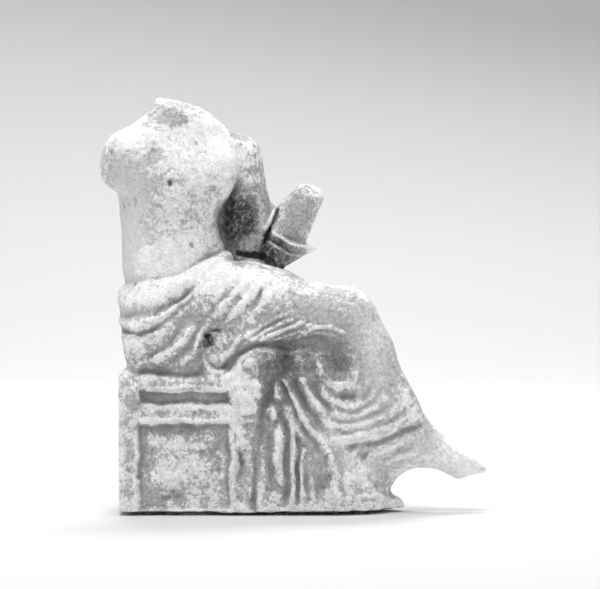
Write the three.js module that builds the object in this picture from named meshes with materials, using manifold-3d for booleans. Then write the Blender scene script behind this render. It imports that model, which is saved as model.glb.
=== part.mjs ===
// Seated draped woman in fired clay, headless, on a square block seat. Millimetres, +Z up.
// She faces +X; the side at -Y is the finished one, the side at +Y is plainer. One moulded piece.
import * as THREE from 'three';
import { mergeVertices } from 'three/addons/utils/BufferGeometryUtils.js';
import Module from 'manifold-3d';

// Overall sizes
const SEAT_BACK = -69.5;
const SEAT_FRONT = -12.6;
const SEAT_TOP = 57.4;
const SEAT_HALF_DEPTH = 24;
const EDGE_ROUND = 2;
const KNEE_X = 20.6;
const KNEE_Z = 77.8;
const TOE_X = 77;
const TOE_Z = 16.9;
const NECK_TOP = 165.2;
const SHOULDER_Z = 144;
const BODY_TURN = 34;
const HIP_RADIUS = 16.6;
const THIGH_RADIUS = 18;
const KNEE_RADIUS = 12;
const SKIRT_HALF_DEPTH = 23;

// Seat carving
const SLOT = { x0: -61.4, x1: -24.6, z0: 44.2, z1: 50.4, depth: 2.3 };
const PANEL = { x0: -61.8, x1: -24.4, z0: 1.2, z1: 37.0, depth: 1.9 };
const POST = { x0: -23.6, x1: -14.6, z0: -6.0, z1: 37.0, depth: 0.8 };

// Surface fineness
const CELL = 1.45;
const FACES = 8200;
const LOW = [-81, -33, -6];
const HIGH = [84, 33, 174];

const RAD = Math.PI / 180;
const mix = (a, b, t) => a + (b - a) * t;
const clamp = (v, a, b) => Math.min(b, Math.max(a, v));

function smooth(v, low, high) {
  const t = clamp((v - low) / (high - low), 0, 1);
  return t * t * (3 - 2 * t);
}

// Masses: each gives the distance from a point to its surface, negative inside
function ball(p, c, r, turn = 0) {
  const co = Math.cos(turn * RAD);
  const si = Math.sin(turn * RAD);
  const dx = p[0] - c[0];
  const dy = p[1] - c[1];
  const q = [(dx * co + dy * si) / r[0], (dx * si - dy * co) / r[1], (p[2] - c[2]) / r[2]];
  const near = Math.hypot(...q) + 1e-6;
  const far = Math.hypot(q[0] / r[0], q[1] / r[1], q[2] / r[2]) + 1e-6;
  return (near * (near - 1)) / far;
}

function limb(p, a, b, ra, rb, depth = 1) {
  const e = [b[0] - a[0], (b[1] - a[1]) / depth, b[2] - a[2]];
  const q = [p[0] - a[0], (p[1] - a[1]) / depth, p[2] - a[2]];
  const t = clamp((q[0] * e[0] + q[1] * e[1] + q[2] * e[2]) / (e[0] ** 2 + e[1] ** 2 + e[2] ** 2), 0, 1);
  return Math.hypot(q[0] - t * e[0], q[1] - t * e[1], q[2] - t * e[2]) - mix(ra, rb, t);
}

function block(p, low, high, round) {
  let outside = 0;
  let inside = -1e9;
  for (let k = 0; k < 3; k += 1) {
    const q = Math.abs(p[k] - (low[k] + high[k]) / 2) - (high[k] - low[k]) / 2 + round;
    outside += Math.max(q, 0) ** 2;
    inside = Math.max(inside, q);
  }
  return Math.sqrt(outside) + Math.min(inside, 0) - round;
}

function join(a, b, blend) {
  const h = Math.max(blend - Math.abs(a - b), 0) / blend;
  return Math.min(a, b) - h * h * blend * 0.25;
}

const carve = (a, b, blend) => -join(-a, b, blend);

// Body and limbs
function torso(p) {
  let d = ball(p, [-46.8, 1, 138], [22, 14.6, 25], BODY_TURN);
  d = join(d, ball(p, [-49, 0.2, 112], [17.4, 16, 28], BODY_TURN), 11);
  d = join(d, ball(p, [-50.6, 0, 97], [17.6, 15.5, 16], BODY_TURN + 15), 8);
  d = join(d, limb(p, [-60, 6, 134], [-57, 8, 100], 10.2, 8.6), 12);
  d = join(d, limb(p, [-54.5, -1.6, SHOULDER_Z + 5.2], [-65.8, -8, SHOULDER_Z - 0.6], 9.6, 10), 9);
  d = join(d, limb(p, [-65.8, -8, SHOULDER_Z - 0.6], [-68.8, -6, SHOULDER_Z - 5.6], 10, 8.8), 4);
  d = join(d, limb(p, [-42, 4, SHOULDER_Z + 10.4], [-23.4, 13, SHOULDER_Z - 1.6], 9.4, 8.2), 7);
  d = join(d, limb(p, [-47.5, 1, 151], [-50, 0, NECK_TOP + 6.8], 8.6, 5.1), 6);
  d = join(d, ball(p, [-47.6, -10.4, 134], [9, 7.2, 9.6]), 10);
  d = join(d, limb(p, [-34.6, 3, 104], [-32, 5, 96], 6.6, 7.4), 8);
  return join(d, ball(p, [-31.8, -3.4, 136.6], [9, 8.2, 11]), 8);
}

function upperArm(p) {
  let d = limb(p, [-22.4, 13, SHOULDER_Z - 1.4], [-19.4, 14, 124], 8, 8);
  d = join(d, limb(p, [-19.4, 14, 124], [-19.5, 14, 103], 8, 8.4), 3);
  d = join(d, ball(p, [-17, 13, 114], [9.6, 8.6, 11]), 3);
  d = join(d, limb(p, [-19.2, 14, 131], [-17.8, 13.5, 117], 8, 9.6), 3);
  d = join(d, limb(p, [-33, 15.5, 138], [-31, 15.5, 98], 6.4, 7), 5);
  return join(d, limb(p, [-20, 17, 100], [-9, 17, 98], 7, 5), 3);
}

// The raised forearm leans to the front and to the finished side
const FOREARM_ROOT = [-4, 9.8, 112.4];
const FOREARM_TIP = [10.2, 5.2, 133.1];
const FOREARM_AXIS = new THREE.Vector3(0.4, -0.18, 0.86).normalize();
const FOREARM_BREAK = [8, 6, 130];
const BREAK_FACING = new THREE.Vector3(0.42, -0.6, 0.76);
const CUFF_MID = [-1.4, 8.6, 109.6];
const CUFF_TURN = THREE.MathUtils.degToRad(10);
const CUFF_UNDER = [-4.8, -0.5, 97.6];
const UNDER_FACING = new THREE.Vector3(-0.036, 0.629, -0.776).normalize();

function forearm(p) {
  const d = limb(p, FOREARM_ROOT, FOREARM_TIP, 10, 4.6, 0.7);
  const past = new THREE.Vector3(...p.map((c, k) => c - FOREARM_BREAK[k])).dot(BREAK_FACING);
  const above = new THREE.Vector3(...p.map((c, k) => c - CUFF_MID[k])).dot(FOREARM_AXIS);
  return Math.max(carve(d, -past, 0.8), -above);
}

// Cloth-covered masses below the waist
function lap(p) {
  let d = ball(p, [-53.4, 0, 79], [HIP_RADIUS, 26, 20]);
  d = join(d, limb(p, [-30, -8, 84.6], [KNEE_X, -8, KNEE_Z], THIGH_RADIUS, KNEE_RADIUS), 8);
  d = join(d, limb(p, [-30, 9, 83], [KNEE_X - 3.2, 9, KNEE_Z - 0.4], THIGH_RADIUS - 1.4, 11.4), 8);
  d = join(d, block(p, [-67.2, -24.4, 57], [-2, 24.4, 78], 8), 4);
  return join(d, block(p, [-65.4, -23.4, 48], [-6, 23.4, 72], 4), 3);
}

function waistRoll(p) {
  const level = 87 + Math.max(p[0] + 60, 0) * 0.2 + Math.max(p[0] + 46, 0) * 0.36;
  const radial = (Math.hypot((p[0] + 47.6) / 18.6, p[1] / 18) - 1) * 18;
  return Math.hypot(radial * 1.15, p[2] - level) - 5.3;
}

function lowerLegs(p) {
  let d = limb(p, [KNEE_X, -8, KNEE_Z], [27.1, -7, 65], 12, 12.4);
  d = join(d, limb(p, [27.1, -7, 65], [39, -5, 43], 12.4, 10.4), 5);
  return join(d, limb(p, [38.4, -5, 43], [54.6, 0, 27.4], 10.4, 5.8), 5);
}

function raisedFoot(p) {
  const ball_of_foot = [67.6, 1.5, 19];
  const d = limb(p, [56, 0.5, 25], ball_of_foot, 7, 5.2);
  return join(d, limb(p, ball_of_foot, [TOE_X, 2.5, TOE_Z], 5.2, 1.7), 3);
}

function skirt(p) {
  let d = block(p, [-20, -SKIRT_HALF_DEPTH, -12], [24, SKIRT_HALF_DEPTH, 72], 10);
  d = join(d, limb(p, [20, 0, 60], [26.5, 0, -12], 13, 15, 1.4), 7);
  d = join(d, limb(p, [26, -1, 47], [47, 0, 27], 13, 9, 1.2), 8);
  d = join(d, limb(p, [28, -1, 34], [41, 0, 19.5], 14, 9, 1.2), 6);
  const arch = Math.hypot(Math.min(p[0] - 50.6, 0), p[2] - 6.9) - 10.9;
  return carve(d, arch, 2);
}

const standingFoot = (p) => limb(p, [28, 0, 4], [40, -1, 1.4], 6.6, 5, 1.4);

// Folds: ridges and valleys drawn along curves on the side elevation, as heights above the masses
const MAP_STEP = 0.8;
const MAP_W = Math.ceil((HIGH[0] - LOW[0]) / MAP_STEP) + 1;
const MAP_H = Math.ceil((HIGH[2] - LOW[2]) / MAP_STEP) + 1;

function curvePoints(guide, count = 16) {
  const pts = guide.map(([x, z]) => new THREE.Vector2(x, z));
  const Curve = pts.length === 3 ? THREE.QuadraticBezierCurve : THREE.CubicBezierCurve;
  const curve = new Curve(...pts);
  return curve.getPoints(count);
}

function fold(map, guide, width, height, taper = 0.2) {
  const line = curvePoints(guide);
  const reach = 2.6 * width;
  const xs = line.map((v) => v.x);
  const zs = line.map((v) => v.y);
  const i0 = Math.max(0, Math.floor((Math.min(...xs) - reach - LOW[0]) / MAP_STEP));
  const i1 = Math.min(MAP_W - 1, Math.ceil((Math.max(...xs) + reach - LOW[0]) / MAP_STEP));
  const k0 = Math.max(0, Math.floor((Math.min(...zs) - reach - LOW[2]) / MAP_STEP));
  const k1 = Math.min(MAP_H - 1, Math.ceil((Math.max(...zs) + reach - LOW[2]) / MAP_STEP));
  for (let i = i0; i <= i1; i += 1) {
    for (let k = k0; k <= k1; k += 1) {
      const x = LOW[0] + i * MAP_STEP;
      const z = LOW[2] + k * MAP_STEP;
      let best = 1e9;
      let where = 0;
      for (let s = 0; s + 1 < line.length; s += 1) {
        const ex = line[s + 1].x - line[s].x;
        const ez = line[s + 1].y - line[s].y;
        const t = clamp(((x - line[s].x) * ex + (z - line[s].y) * ez) / (ex * ex + ez * ez), 0, 1);
        const d = Math.hypot(x - line[s].x - t * ex, z - line[s].y - t * ez);
        if (d < best) {
          best = d;
          where = (s + t) / (line.length - 1);
        }
      }
      const ends = smooth(Math.min(where, 1 - where), 0, taper) * 0.85 + 0.15;
      map[i * MAP_H + k] += height * ends * Math.exp(-((best / width) ** 2));
    }
  }
}

// Alternating valleys and ridges spaced evenly between two guide curves
function foldFan(map, first, last, ridges, width, height, taper = 0.15) {
  const steps = ridges * 2;
  for (let s = 0; s <= steps; s += 1) {
    const t = s / steps;
    const guide = first.map(([x, z], n) => [mix(x, last[n][0], t), mix(z, last[n][1], t)]);
    fold(map, guide, width, s % 2 === 0 ? -height : height * 0.8, taper);
  }
}

function heightAt(map, x, z) {
  const u = clamp((x - LOW[0]) / MAP_STEP, 0, MAP_W - 1.001);
  const v = clamp((z - LOW[2]) / MAP_STEP, 0, MAP_H - 1.001);
  const i = Math.floor(u);
  const k = Math.floor(v);
  const at = (a, b) => map[(i + a) * MAP_H + k + b];
  return mix(mix(at(0, 0), at(1, 0), u - i), mix(at(0, 1), at(1, 1), u - i), v - k);
}

const finished = new Float32Array(MAP_W * MAP_H);
const plain = new Float32Array(MAP_W * MAP_H);

// Bands of cloth round the hip
const HIP_HIGH = [[-72.8, 80.4], [-57.1, 79.6], [-46.8, 86.8], [-31.3, 95.5]];
const HIP_LOW = [[-63.7, 63.3], [-50, 64.4], [-46, 70.8], [-36.4, 81.8]];
foldFan(finished, HIP_HIGH, HIP_LOW, 2, 1.9, 2.1);
fold(finished, [[-59.7, 60.3], [-45.5, 63.1], [-42.5, 70.2], [-33.4, 80.3]], 2, 1.2);
// Slanting folds that climb over the thigh
const CLIMB_BACK = [[-38.4, 77.8], [-30.3, 85.9], [-21.2, 100.5]];
const CLIMB_FRONT = [[-21.2, 72.2], [-14.2, 79.3], [-8.1, 96.5]];
foldFan(finished, CLIMB_BACK, CLIMB_FRONT, 3, 1.6, 0.4);
// Hollow under the crossed thigh, with the edge of cloth above it
fold(finished, [[-26.9, 59.4], [-17.2, 66.9], [0, 68.4], [10.1, 66.6]], 2.6, -3.2);
fold(finished, [[-8, 64], [2, 69], [15, 69], [22.6, 55.8]], 4.6, -3.4);
fold(finished, [[11.5, 65.3], [17, 65.3], [21, 61.3], [19.8, 55]], 3.6, -2.2);
fold(finished, [[-3, 65.1], [-1, 59.1], [1, 55]], 3.6, -2.2, 0.3);
fold(finished, [[-22.9, 70.2], [-12.5, 73.2], [2.6, 72.4], [16.2, 77.3]], 1.9, 1.3);
// Fold ends over the seat's front corner
fold(finished, [[-27.7, 55], [-21.2, 61.5], [-8.6, 68.2]], 2.1, 1.7);
fold(finished, [[-10.1, 68.5], [-4.6, 65.1], [-8.6, 55.6]], 1.9, 1.5);
fold(finished, [[-36, 66.1], [-35.6, 55.8], [-28.3, 55.8], [-24.5, 61.3]], 1.8, 1.3);
// Block at the seat's front corner, standing proud
fold(finished, [[-19, 53.6], [-19.4, 46.8], [-19, 40]], 5.2, 1.1, 0.1);
// Groove where the cloth leaves the seat
fold(finished, [[-7, 54.9], [-11.7, 47.7], [-14.2, 30.2], [-15, -7.7]], 1.8, -2.4, 0.06);
// Fan of folds that springs from under the thigh
fold(finished, [[-3.7, 54.9], [-1.6, 44.9], [2.6, 36.8], [9.9, 30.1]], 2, 1.5, 0.15);
fold(finished, [[2.8, 54.9], [5.5, 48.9], [9.1, 44.5], [13.6, 39.8]], 2, 1.5, 0.15);
// Folds that hang to the ground
const HANG_X = [-10.6, -5.8, -0.4, 3.6];
const HANG_TOP = [26, 38, 34, 29];
HANG_X.forEach((x, n) => fold(finished, [[x, HANG_TOP[n]], [x - 0.8, 18], [x + 0.2, -4]], 1.7, 1.6));
[-8.4, -2.7, 1.7].forEach((x) => fold(finished, [[x, 37], [x - 0.4, 20], [x, -4]], 1.5, -1.8));
fold(finished, [[5, 36.6], [10.5, 28.6], [12.9, 6.3]], 3.2, -2.4, 0.15);
fold(finished, [[12.9, 30.9], [17.3, 19], [17.7, -1.6]], 2, 1.8, 0.12);
// Curved folds slung between calf and shin
const SLUNG_NEAR = [[12.1, 61.1], [11.5, 49.3], [25.7, 47.7], [26.3, 59.7]];
const SLUNG_FAR = [[16.7, 29.7], [26.3, 26.1], [40.9, 30.2], [50.6, 37.4]];
foldFan(finished, SLUNG_NEAR, SLUNG_FAR, 4, 1.7, 1.4, 0.28);
fold(finished, [[20.9, 25.4], [31.2, 27.8], [41.7, 28.6], [55.2, 36.6]], 1.9, -1.8);
fold(finished, [[30.5, 21.4], [39.2, 25.4], [48, 27.8]], 1.8, 1);
fold(finished, [[18.5, 6.3], [28.9, 10.3], [40.9, 3.9]], 1.8, 0.9);

// The plainer side: hip bands, hanging folds and a hollow under the thigh
const PLAIN_HIP_HIGH = [[-72.8, 81.3], [-53.6, 79.3], [-44.5, 87.4], [-30.3, 96.5]];
const PLAIN_HIP_LOW = [[-70.8, 59.1], [-48.5, 59.1], [-36.4, 67.1], [-20.2, 77.3]];
foldFan(plain, PLAIN_HIP_HIGH, PLAIN_HIP_LOW, 3, 2.2, 1);
const PLAIN_SKIRT_BACK = [[-9.1, 65.1], [-12.1, 32.8], [-12.6, -5.7]];
const PLAIN_SKIRT_FRONT = [[24.3, 59.1], [26.3, 32.8], [33.4, -5.7]];
foldFan(plain, PLAIN_SKIRT_BACK, PLAIN_SKIRT_FRONT, 6, 2, 1);
fold(plain, [[-26.3, 61.1], [-14.2, 68.2], [4, 67.1], [14.2, 65.1]], 3, -1.8);

function figure(p) {
  let d = join(lap(p), lowerLegs(p), 6);
  d = join(d, skirt(p), 5);
  d = join(d, raisedFoot(p), 4);
  d = join(d, standingFoot(p), 3);
  d = join(d, waistRoll(p), 2);
  d -= heightAt(finished, p[0], p[2]) * smooth(-p[1], -2, 6);
  d -= heightAt(plain, p[0], p[2]) * smooth(p[1], 2, 9);
  // Clay fills the space between thighs and skirt, so the hollow there stays shallow
  d = join(d, block(p, [-24, -17.5, 50], [30, 19, 78], 5), 2);
  d = join(d, join(torso(p), upperArm(p), mix(3, 12, smooth(p[1], 8, 18))), 1.4);
  d = join(d, forearm(p), 1);
  // The neck is broken off along one slanting plane
  const neck = (p[0] + 49) * 0.22 - p[1] * 0.25 + (p[2] - NECK_TOP) * 0.94;
  return Math.max(carve(d, -neck, 0.8), -p[2] - 4);
}

// Closed surface of the field: each grid cube is cut into six tetrahedra round one diagonal
const TETRAHEDRA = [[0, 5, 1, 6], [0, 1, 2, 6], [0, 2, 3, 6], [0, 3, 7, 6], [0, 7, 4, 6], [0, 4, 5, 6]];
const CORNERS = [[0, 0, 0], [1, 0, 0], [1, 1, 0], [0, 1, 0], [0, 0, 1], [1, 0, 1], [1, 1, 1], [0, 1, 1]];

function surfaceOf(field) {
  const n = LOW.map((low, k) => Math.ceil((HIGH[k] - low) / CELL) + 1);
  const at = (i, j, k) => (i * n[1] + j) * n[2] + k;
  const place = (id) => [Math.floor(id / (n[1] * n[2])), Math.floor(id / n[2]) % n[1], id % n[2]]
    .map((c, k) => LOW[k] + c * CELL);
  const value = new Float32Array(n[0] * n[1] * n[2]);
  const least = CELL * 0.02;
  for (let id = 0; id < value.length; id += 1) {
    const v = field(place(id));
    value[id] = v < 0 ? Math.min(v, -least) : Math.max(v, least);
  }
  const points = [];
  const faces = [];
  const made = new Map();
  const crossing = (a, b) => {
    const key = Math.min(a, b) * value.length + Math.max(a, b);
    if (!made.has(key)) {
      const t = value[a] / (value[a] - value[b]);
      const pb = place(b);
      made.set(key, points.length / 3);
      place(a).forEach((c, k) => points.push(mix(c, pb[k], t)));
    }
    return made.get(key);
  };
  const face = (tri, inner, outer) => {
    const [a, b, c] = tri.map((v) => new THREE.Vector3().fromArray(points, v * 3));
    const normal = b.sub(a).cross(c.sub(a));
    const out = new THREE.Vector3().fromArray(place(outer)).sub(new THREE.Vector3().fromArray(place(inner)));
    if (normal.dot(out) < 0) tri.reverse();
    faces.push(...tri);
  };
  for (let i = 0; i + 1 < n[0]; i += 1) {
    for (let j = 0; j + 1 < n[1]; j += 1) {
      for (let k = 0; k + 1 < n[2]; k += 1) {
        const ids = CORNERS.map((c) => at(i + c[0], j + c[1], k + c[2]));
        const within = ids.filter((id) => value[id] < 0).length;
        if (within === 0 || within === 8) continue;
        TETRAHEDRA.forEach((tet) => {
          const inner = tet.map((c) => ids[c]).filter((id) => value[id] < 0);
          const outer = tet.map((c) => ids[c]).filter((id) => value[id] >= 0);
          if (inner.length === 1) {
            face(outer.map((o) => crossing(inner[0], o)), inner[0], outer[0]);
          } else if (inner.length === 3) {
            face(inner.map((o) => crossing(o, outer[0])), inner[0], outer[0]);
          } else if (inner.length === 2) {
            const [a, b] = inner;
            const [c, d] = outer;
            face([crossing(a, c), crossing(a, d), crossing(b, d)], a, c);
            face([crossing(a, c), crossing(b, d), crossing(b, c)], b, c);
          }
        });
      }
    }
  }
  return { points, faces };
}

// Edge-by-edge thinning: the flattest edges close up first, folds and edges keep their faces
function thin({ points, faces }, target) {
  const nv = points.length / 3;
  const nf = faces.length / 3;
  const q = new Float64Array(nv * 10);
  const around = Array.from({ length: nv }, () => new Set());
  const live = new Uint8Array(nf).fill(1);
  const gone = new Uint8Array(nv);
  const stamp = new Uint32Array(nv);
  const get = (v) => [points[v * 3], points[v * 3 + 1], points[v * 3 + 2]];
  const cross = (a, b, c) => {
    const u = [b[0] - a[0], b[1] - a[1], b[2] - a[2]];
    const v = [c[0] - a[0], c[1] - a[1], c[2] - a[2]];
    return [u[1] * v[2] - u[2] * v[1], u[2] * v[0] - u[0] * v[2], u[0] * v[1] - u[1] * v[0]];
  };
  for (let f = 0; f < nf; f += 1) {
    const t = [faces[f * 3], faces[f * 3 + 1], faces[f * 3 + 2]];
    const a = get(t[0]);
    const m = cross(a, get(t[1]), get(t[2]));
    const size = Math.hypot(...m) + 1e-12;
    const [x, y, z] = m.map((c) => c / size);
    const w = -(x * a[0] + y * a[1] + z * a[2]);
    const plane = [x * x, x * y, x * z, x * w, y * y, y * z, y * w, z * z, z * w, w * w];
    t.forEach((v) => {
      around[v].add(f);
      plane.forEach((c, k) => {
        q[v * 10 + k] += c * size;
      });
    });
  }
  const error = (e, [x, y, z]) => e[0] * x * x + 2 * e[1] * x * y + 2 * e[2] * x * z + 2 * e[3] * x
    + e[4] * y * y + 2 * e[5] * y * z + 2 * e[6] * y + e[7] * z * z + 2 * e[8] * z + e[9];
  const neighbours = (v) => {
    const set = new Set();
    around[v].forEach((f) => {
      for (let k = 0; k < 3; k += 1) set.add(faces[f * 3 + k]);
    });
    set.delete(v);
    return set;
  };
  const heap = [];
  const swap = (a, b) => {
    [heap[a], heap[b]] = [heap[b], heap[a]];
  };
  const push = (item) => {
    let c = heap.push(item) - 1;
    while (c > 0 && heap[(c - 1) >> 1].cost > heap[c].cost) {
      swap(c, (c - 1) >> 1);
      c = (c - 1) >> 1;
    }
  };
  const pop = () => {
    const top = heap[0];
    const last = heap.pop();
    if (heap.length > 0) {
      heap[0] = last;
      let c = 0;
      for (;;) {
        const l = c * 2 + 1;
        let s = c;
        if (l < heap.length && heap[l].cost < heap[s].cost) s = l;
        if (l + 1 < heap.length && heap[l + 1].cost < heap[s].cost) s = l + 1;
        if (s === c) break;
        swap(s, c);
        c = s;
      }
    }
    return top;
  };
  const offer = (a, b) => {
    const e = new Float64Array(10);
    for (let k = 0; k < 10; k += 1) e[k] = q[a * 10 + k] + q[b * 10 + k];
    const pa = get(a);
    const pb = get(b);
    const trial = [pa, pb, pa.map((c, k) => (c + pb[k]) / 2)];
    const det = e[0] * (e[4] * e[7] - e[5] ** 2) - e[1] * (e[1] * e[7] - e[5] * e[2])
      + e[2] * (e[1] * e[5] - e[4] * e[2]);
    if (Math.abs(det) > 1e-3) {
      const r = [-e[3], -e[6], -e[8]];
      const best = [
        (r[0] * (e[4] * e[7] - e[5] ** 2) - e[1] * (r[1] * e[7] - e[5] * r[2])
          + e[2] * (r[1] * e[5] - e[4] * r[2])) / det,
        (e[0] * (r[1] * e[7] - e[5] * r[2]) - r[0] * (e[1] * e[7] - e[5] * e[2])
          + e[2] * (e[1] * r[2] - r[1] * e[2])) / det,
        (e[0] * (e[4] * r[2] - r[1] * e[5]) - e[1] * (e[1] * r[2] - r[1] * e[2])
          + r[0] * (e[1] * e[5] - e[4] * e[2])) / det,
      ];
      if (Math.hypot(best[0] - pa[0], best[1] - pa[1], best[2] - pa[2]) < 4) trial.unshift(best);
    }
    let place = trial[0];
    let cost = error(e, place);
    trial.forEach((t) => {
      const c = error(e, t);
      if (c < cost - 1e-12) {
        cost = c;
        place = t;
      }
    });
    const length = Math.hypot(pa[0] - pb[0], pa[1] - pb[1], pa[2] - pb[2]);
    push({ a, b, place, cost: cost + 1e-4 * length ** 2, sa: stamp[a], sb: stamp[b] });
  };
  for (let v = 0; v < nv; v += 1) neighbours(v).forEach((o) => {
    if (o > v) offer(v, o);
  });
  let count = nf;
  while (count > target && heap.length > 0) {
    const { a, b, place, sa, sb } = pop();
    if (gone[a] || gone[b] || stamp[a] !== sa || stamp[b] !== sb) continue;
    const na = neighbours(a);
    const shared = [...neighbours(b)].filter((v) => na.has(v));
    if (shared.length !== 2) continue;
    let folds = false;
    [[a, b], [b, a]].forEach(([from, other]) => around[from].forEach((f) => {
      const t = [faces[f * 3], faces[f * 3 + 1], faces[f * 3 + 2]];
      if (t.includes(other)) return;
      const before = cross(...t.map(get));
      const after = cross(...t.map((v) => (v === from ? place : get(v))));
      const dot = before[0] * after[0] + before[1] * after[1] + before[2] * after[2];
      const size = Math.hypot(...after);
      if (dot < 0.3 * Math.hypot(...before) * size || size < 0.02) folds = true;
    }));
    if (folds) continue;
    place.forEach((c, k) => {
      points[a * 3 + k] = c;
    });
    for (let k = 0; k < 10; k += 1) q[a * 10 + k] += q[b * 10 + k];
    [...around[b]].forEach((f) => {
      const t = [faces[f * 3], faces[f * 3 + 1], faces[f * 3 + 2]];
      if (t.includes(a)) {
        live[f] = 0;
        count -= 1;
        t.forEach((v) => around[v].delete(f));
        return;
      }
      for (let k = 0; k < 3; k += 1) if (faces[f * 3 + k] === b) faces[f * 3 + k] = a;
      around[a].add(f);
    });
    gone[b] = 1;
    around[b].clear();
    stamp[a] += 1;
    neighbours(a).forEach((o) => {
      offer(a, o);
    });
  }
  const order = new Map();
  const kept = [];
  const out = [];
  for (let f = 0; f < nf; f += 1) {
    if (!live[f]) continue;
    for (let k = 0; k < 3; k += 1) {
      const v = faces[f * 3 + k];
      if (!order.has(v)) {
        order.set(v, kept.length / 3);
        kept.push(...get(v));
      }
      out.push(order.get(v));
    }
  }
  return { points: kept, faces: out };
}

const wasm = await Module();
wasm.setup();

function solid(points, faces) {
  return new wasm.Manifold(new wasm.Mesh({
    numProp: 3,
    vertProperties: new Float32Array(points),
    triVerts: new Uint32Array(faces),
  }));
}

function solidFrom(geometry) {
  geometry.deleteAttribute('normal');
  geometry.deleteAttribute('uv');
  const merged = mergeVertices(geometry, 1e-4);
  return solid(merged.attributes.position.array, merged.index.array);
}

function boxSolid(x0, x1, y0, y1, z0, z1) {
  const g = new THREE.BoxGeometry(x1 - x0, y1 - y0, z1 - z0);
  g.translate((x0 + x1) / 2, (y0 + y1) / 2, (z0 + z1) / 2);
  return solidFrom(g);
}

// The block seat, its upright edges rounded
function seatSolid() {
  const x0 = SEAT_BACK;
  const x1 = SEAT_FRONT;
  const y = SEAT_HALF_DEPTH;
  const r = EDGE_ROUND;
  const s = new THREE.Shape();
  s.moveTo(x0 + r, -y);
  s.lineTo(x1 - r, -y);
  s.quadraticCurveTo(x1, -y, x1, -y + r);
  s.lineTo(x1, y - r);
  s.quadraticCurveTo(x1, y, x1 - r, y);
  s.lineTo(x0 + r, y);
  s.quadraticCurveTo(x0, y, x0, y - r);
  s.lineTo(x0, -y + r);
  s.quadraticCurveTo(x0, -y, x0 + r, -y);
  const g = new THREE.ExtrudeGeometry(s, { depth: SEAT_TOP + 5, bevelEnabled: false, curveSegments: 3 });
  g.translate(0, 0, -5);
  return solidFrom(g);
}

// The square stepped end of the mantle round the forearm's root, one corner toward -Y
function cuffSolid() {
  const profile = [[0, -16], [10.8, -16], [11.4, -3], [10.8, -3], [10.8, -1.8], [11.7, -1.8],
    [11.7, 1.2], [0, 1.2]];
  const g = new THREE.LatheGeometry(profile.map(([r, h]) => new THREE.Vector2(r, h)), 4);
  const near = new THREE.Vector3(0, -1, 0).projectOnPlane(FOREARM_AXIS).normalize();
  near.applyAxisAngle(FOREARM_AXIS, CUFF_TURN);
  const across = new THREE.Vector3().crossVectors(FOREARM_AXIS, near);
  g.applyMatrix4(new THREE.Matrix4().makeBasis(across, FOREARM_AXIS, near));
  g.translate(...CUFF_MID);
  const under = new THREE.BoxGeometry(80, 80, 40);
  under.translate(0, 0, 20);
  under.applyQuaternion(new THREE.Quaternion().setFromUnitVectors(new THREE.Vector3(0, 0, 1), UNDER_FACING));
  under.translate(...CUFF_UNDER);
  return solidFrom(g).subtract(solidFrom(under));
}

// A sunk panel with sloping walls; side is -1 for the finished face and 1 for the plain one
function recess({ x0, x1, z0, z1, depth }, side) {
  const g = new THREE.BoxGeometry(x1 - x0, depth + 2, z1 - z0);
  g.translate((x0 + x1) / 2, side * (SEAT_HALF_DEPTH + 1 - depth / 2), (z0 + z1) / 2);
  const pos = g.attributes.position;
  const mx = (x0 + x1) / 2;
  const mz = (z0 + z1) / 2;
  const slope = 0.35 * depth;
  for (let v = 0; v < pos.count; v += 1) {
    if (Math.abs(pos.getY(v)) > SEAT_HALF_DEPTH) continue;
    pos.setX(v, pos.getX(v) - Math.sign(pos.getX(v) - mx) * slope);
    pos.setZ(v, pos.getZ(v) - Math.sign(pos.getZ(v) - mz) * slope);
  }
  return solidFrom(g);
}

const body = thin(surfaceOf(figure), FACES);
let whole = solid(body.points, body.faces);
whole = whole.add(cuffSolid()).add(seatSolid());
[-1, 1].forEach((side) => {
  [SLOT, PANEL, POST].forEach((r) => {
    whole = whole.subtract(recess({ ...r, depth: side < 0 ? r.depth : r.depth * 0.7 }, side));
  });
});
// Flat foot all over, so that the piece stands on its lower face
whole = whole.subtract(boxSolid(-120, 120, -60, 60, -40, 0));

const { vertProperties, triVerts } = whole.getMesh();
const geometry = new THREE.BufferGeometry();
geometry.setAttribute('position', new THREE.BufferAttribute(new Float32Array(vertProperties), 3));
geometry.setIndex(new THREE.BufferAttribute(new Uint32Array(triVerts), 1));
geometry.computeBoundingBox();
const size = geometry.boundingBox;
geometry.translate(-(size.min.x + size.max.x) / 2, -(size.min.y + size.max.y) / 2, -size.min.z);
geometry.computeVertexNormals();

const clay = new THREE.MeshStandardMaterial({ color: 0xb9b7b3, roughness: 0.9, metalness: 0 });
const figurine = new THREE.Mesh(geometry, clay);
figurine.name = 'figurine';

const group = new THREE.Group();
group.add(figurine);
export default group;
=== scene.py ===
import math

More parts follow.
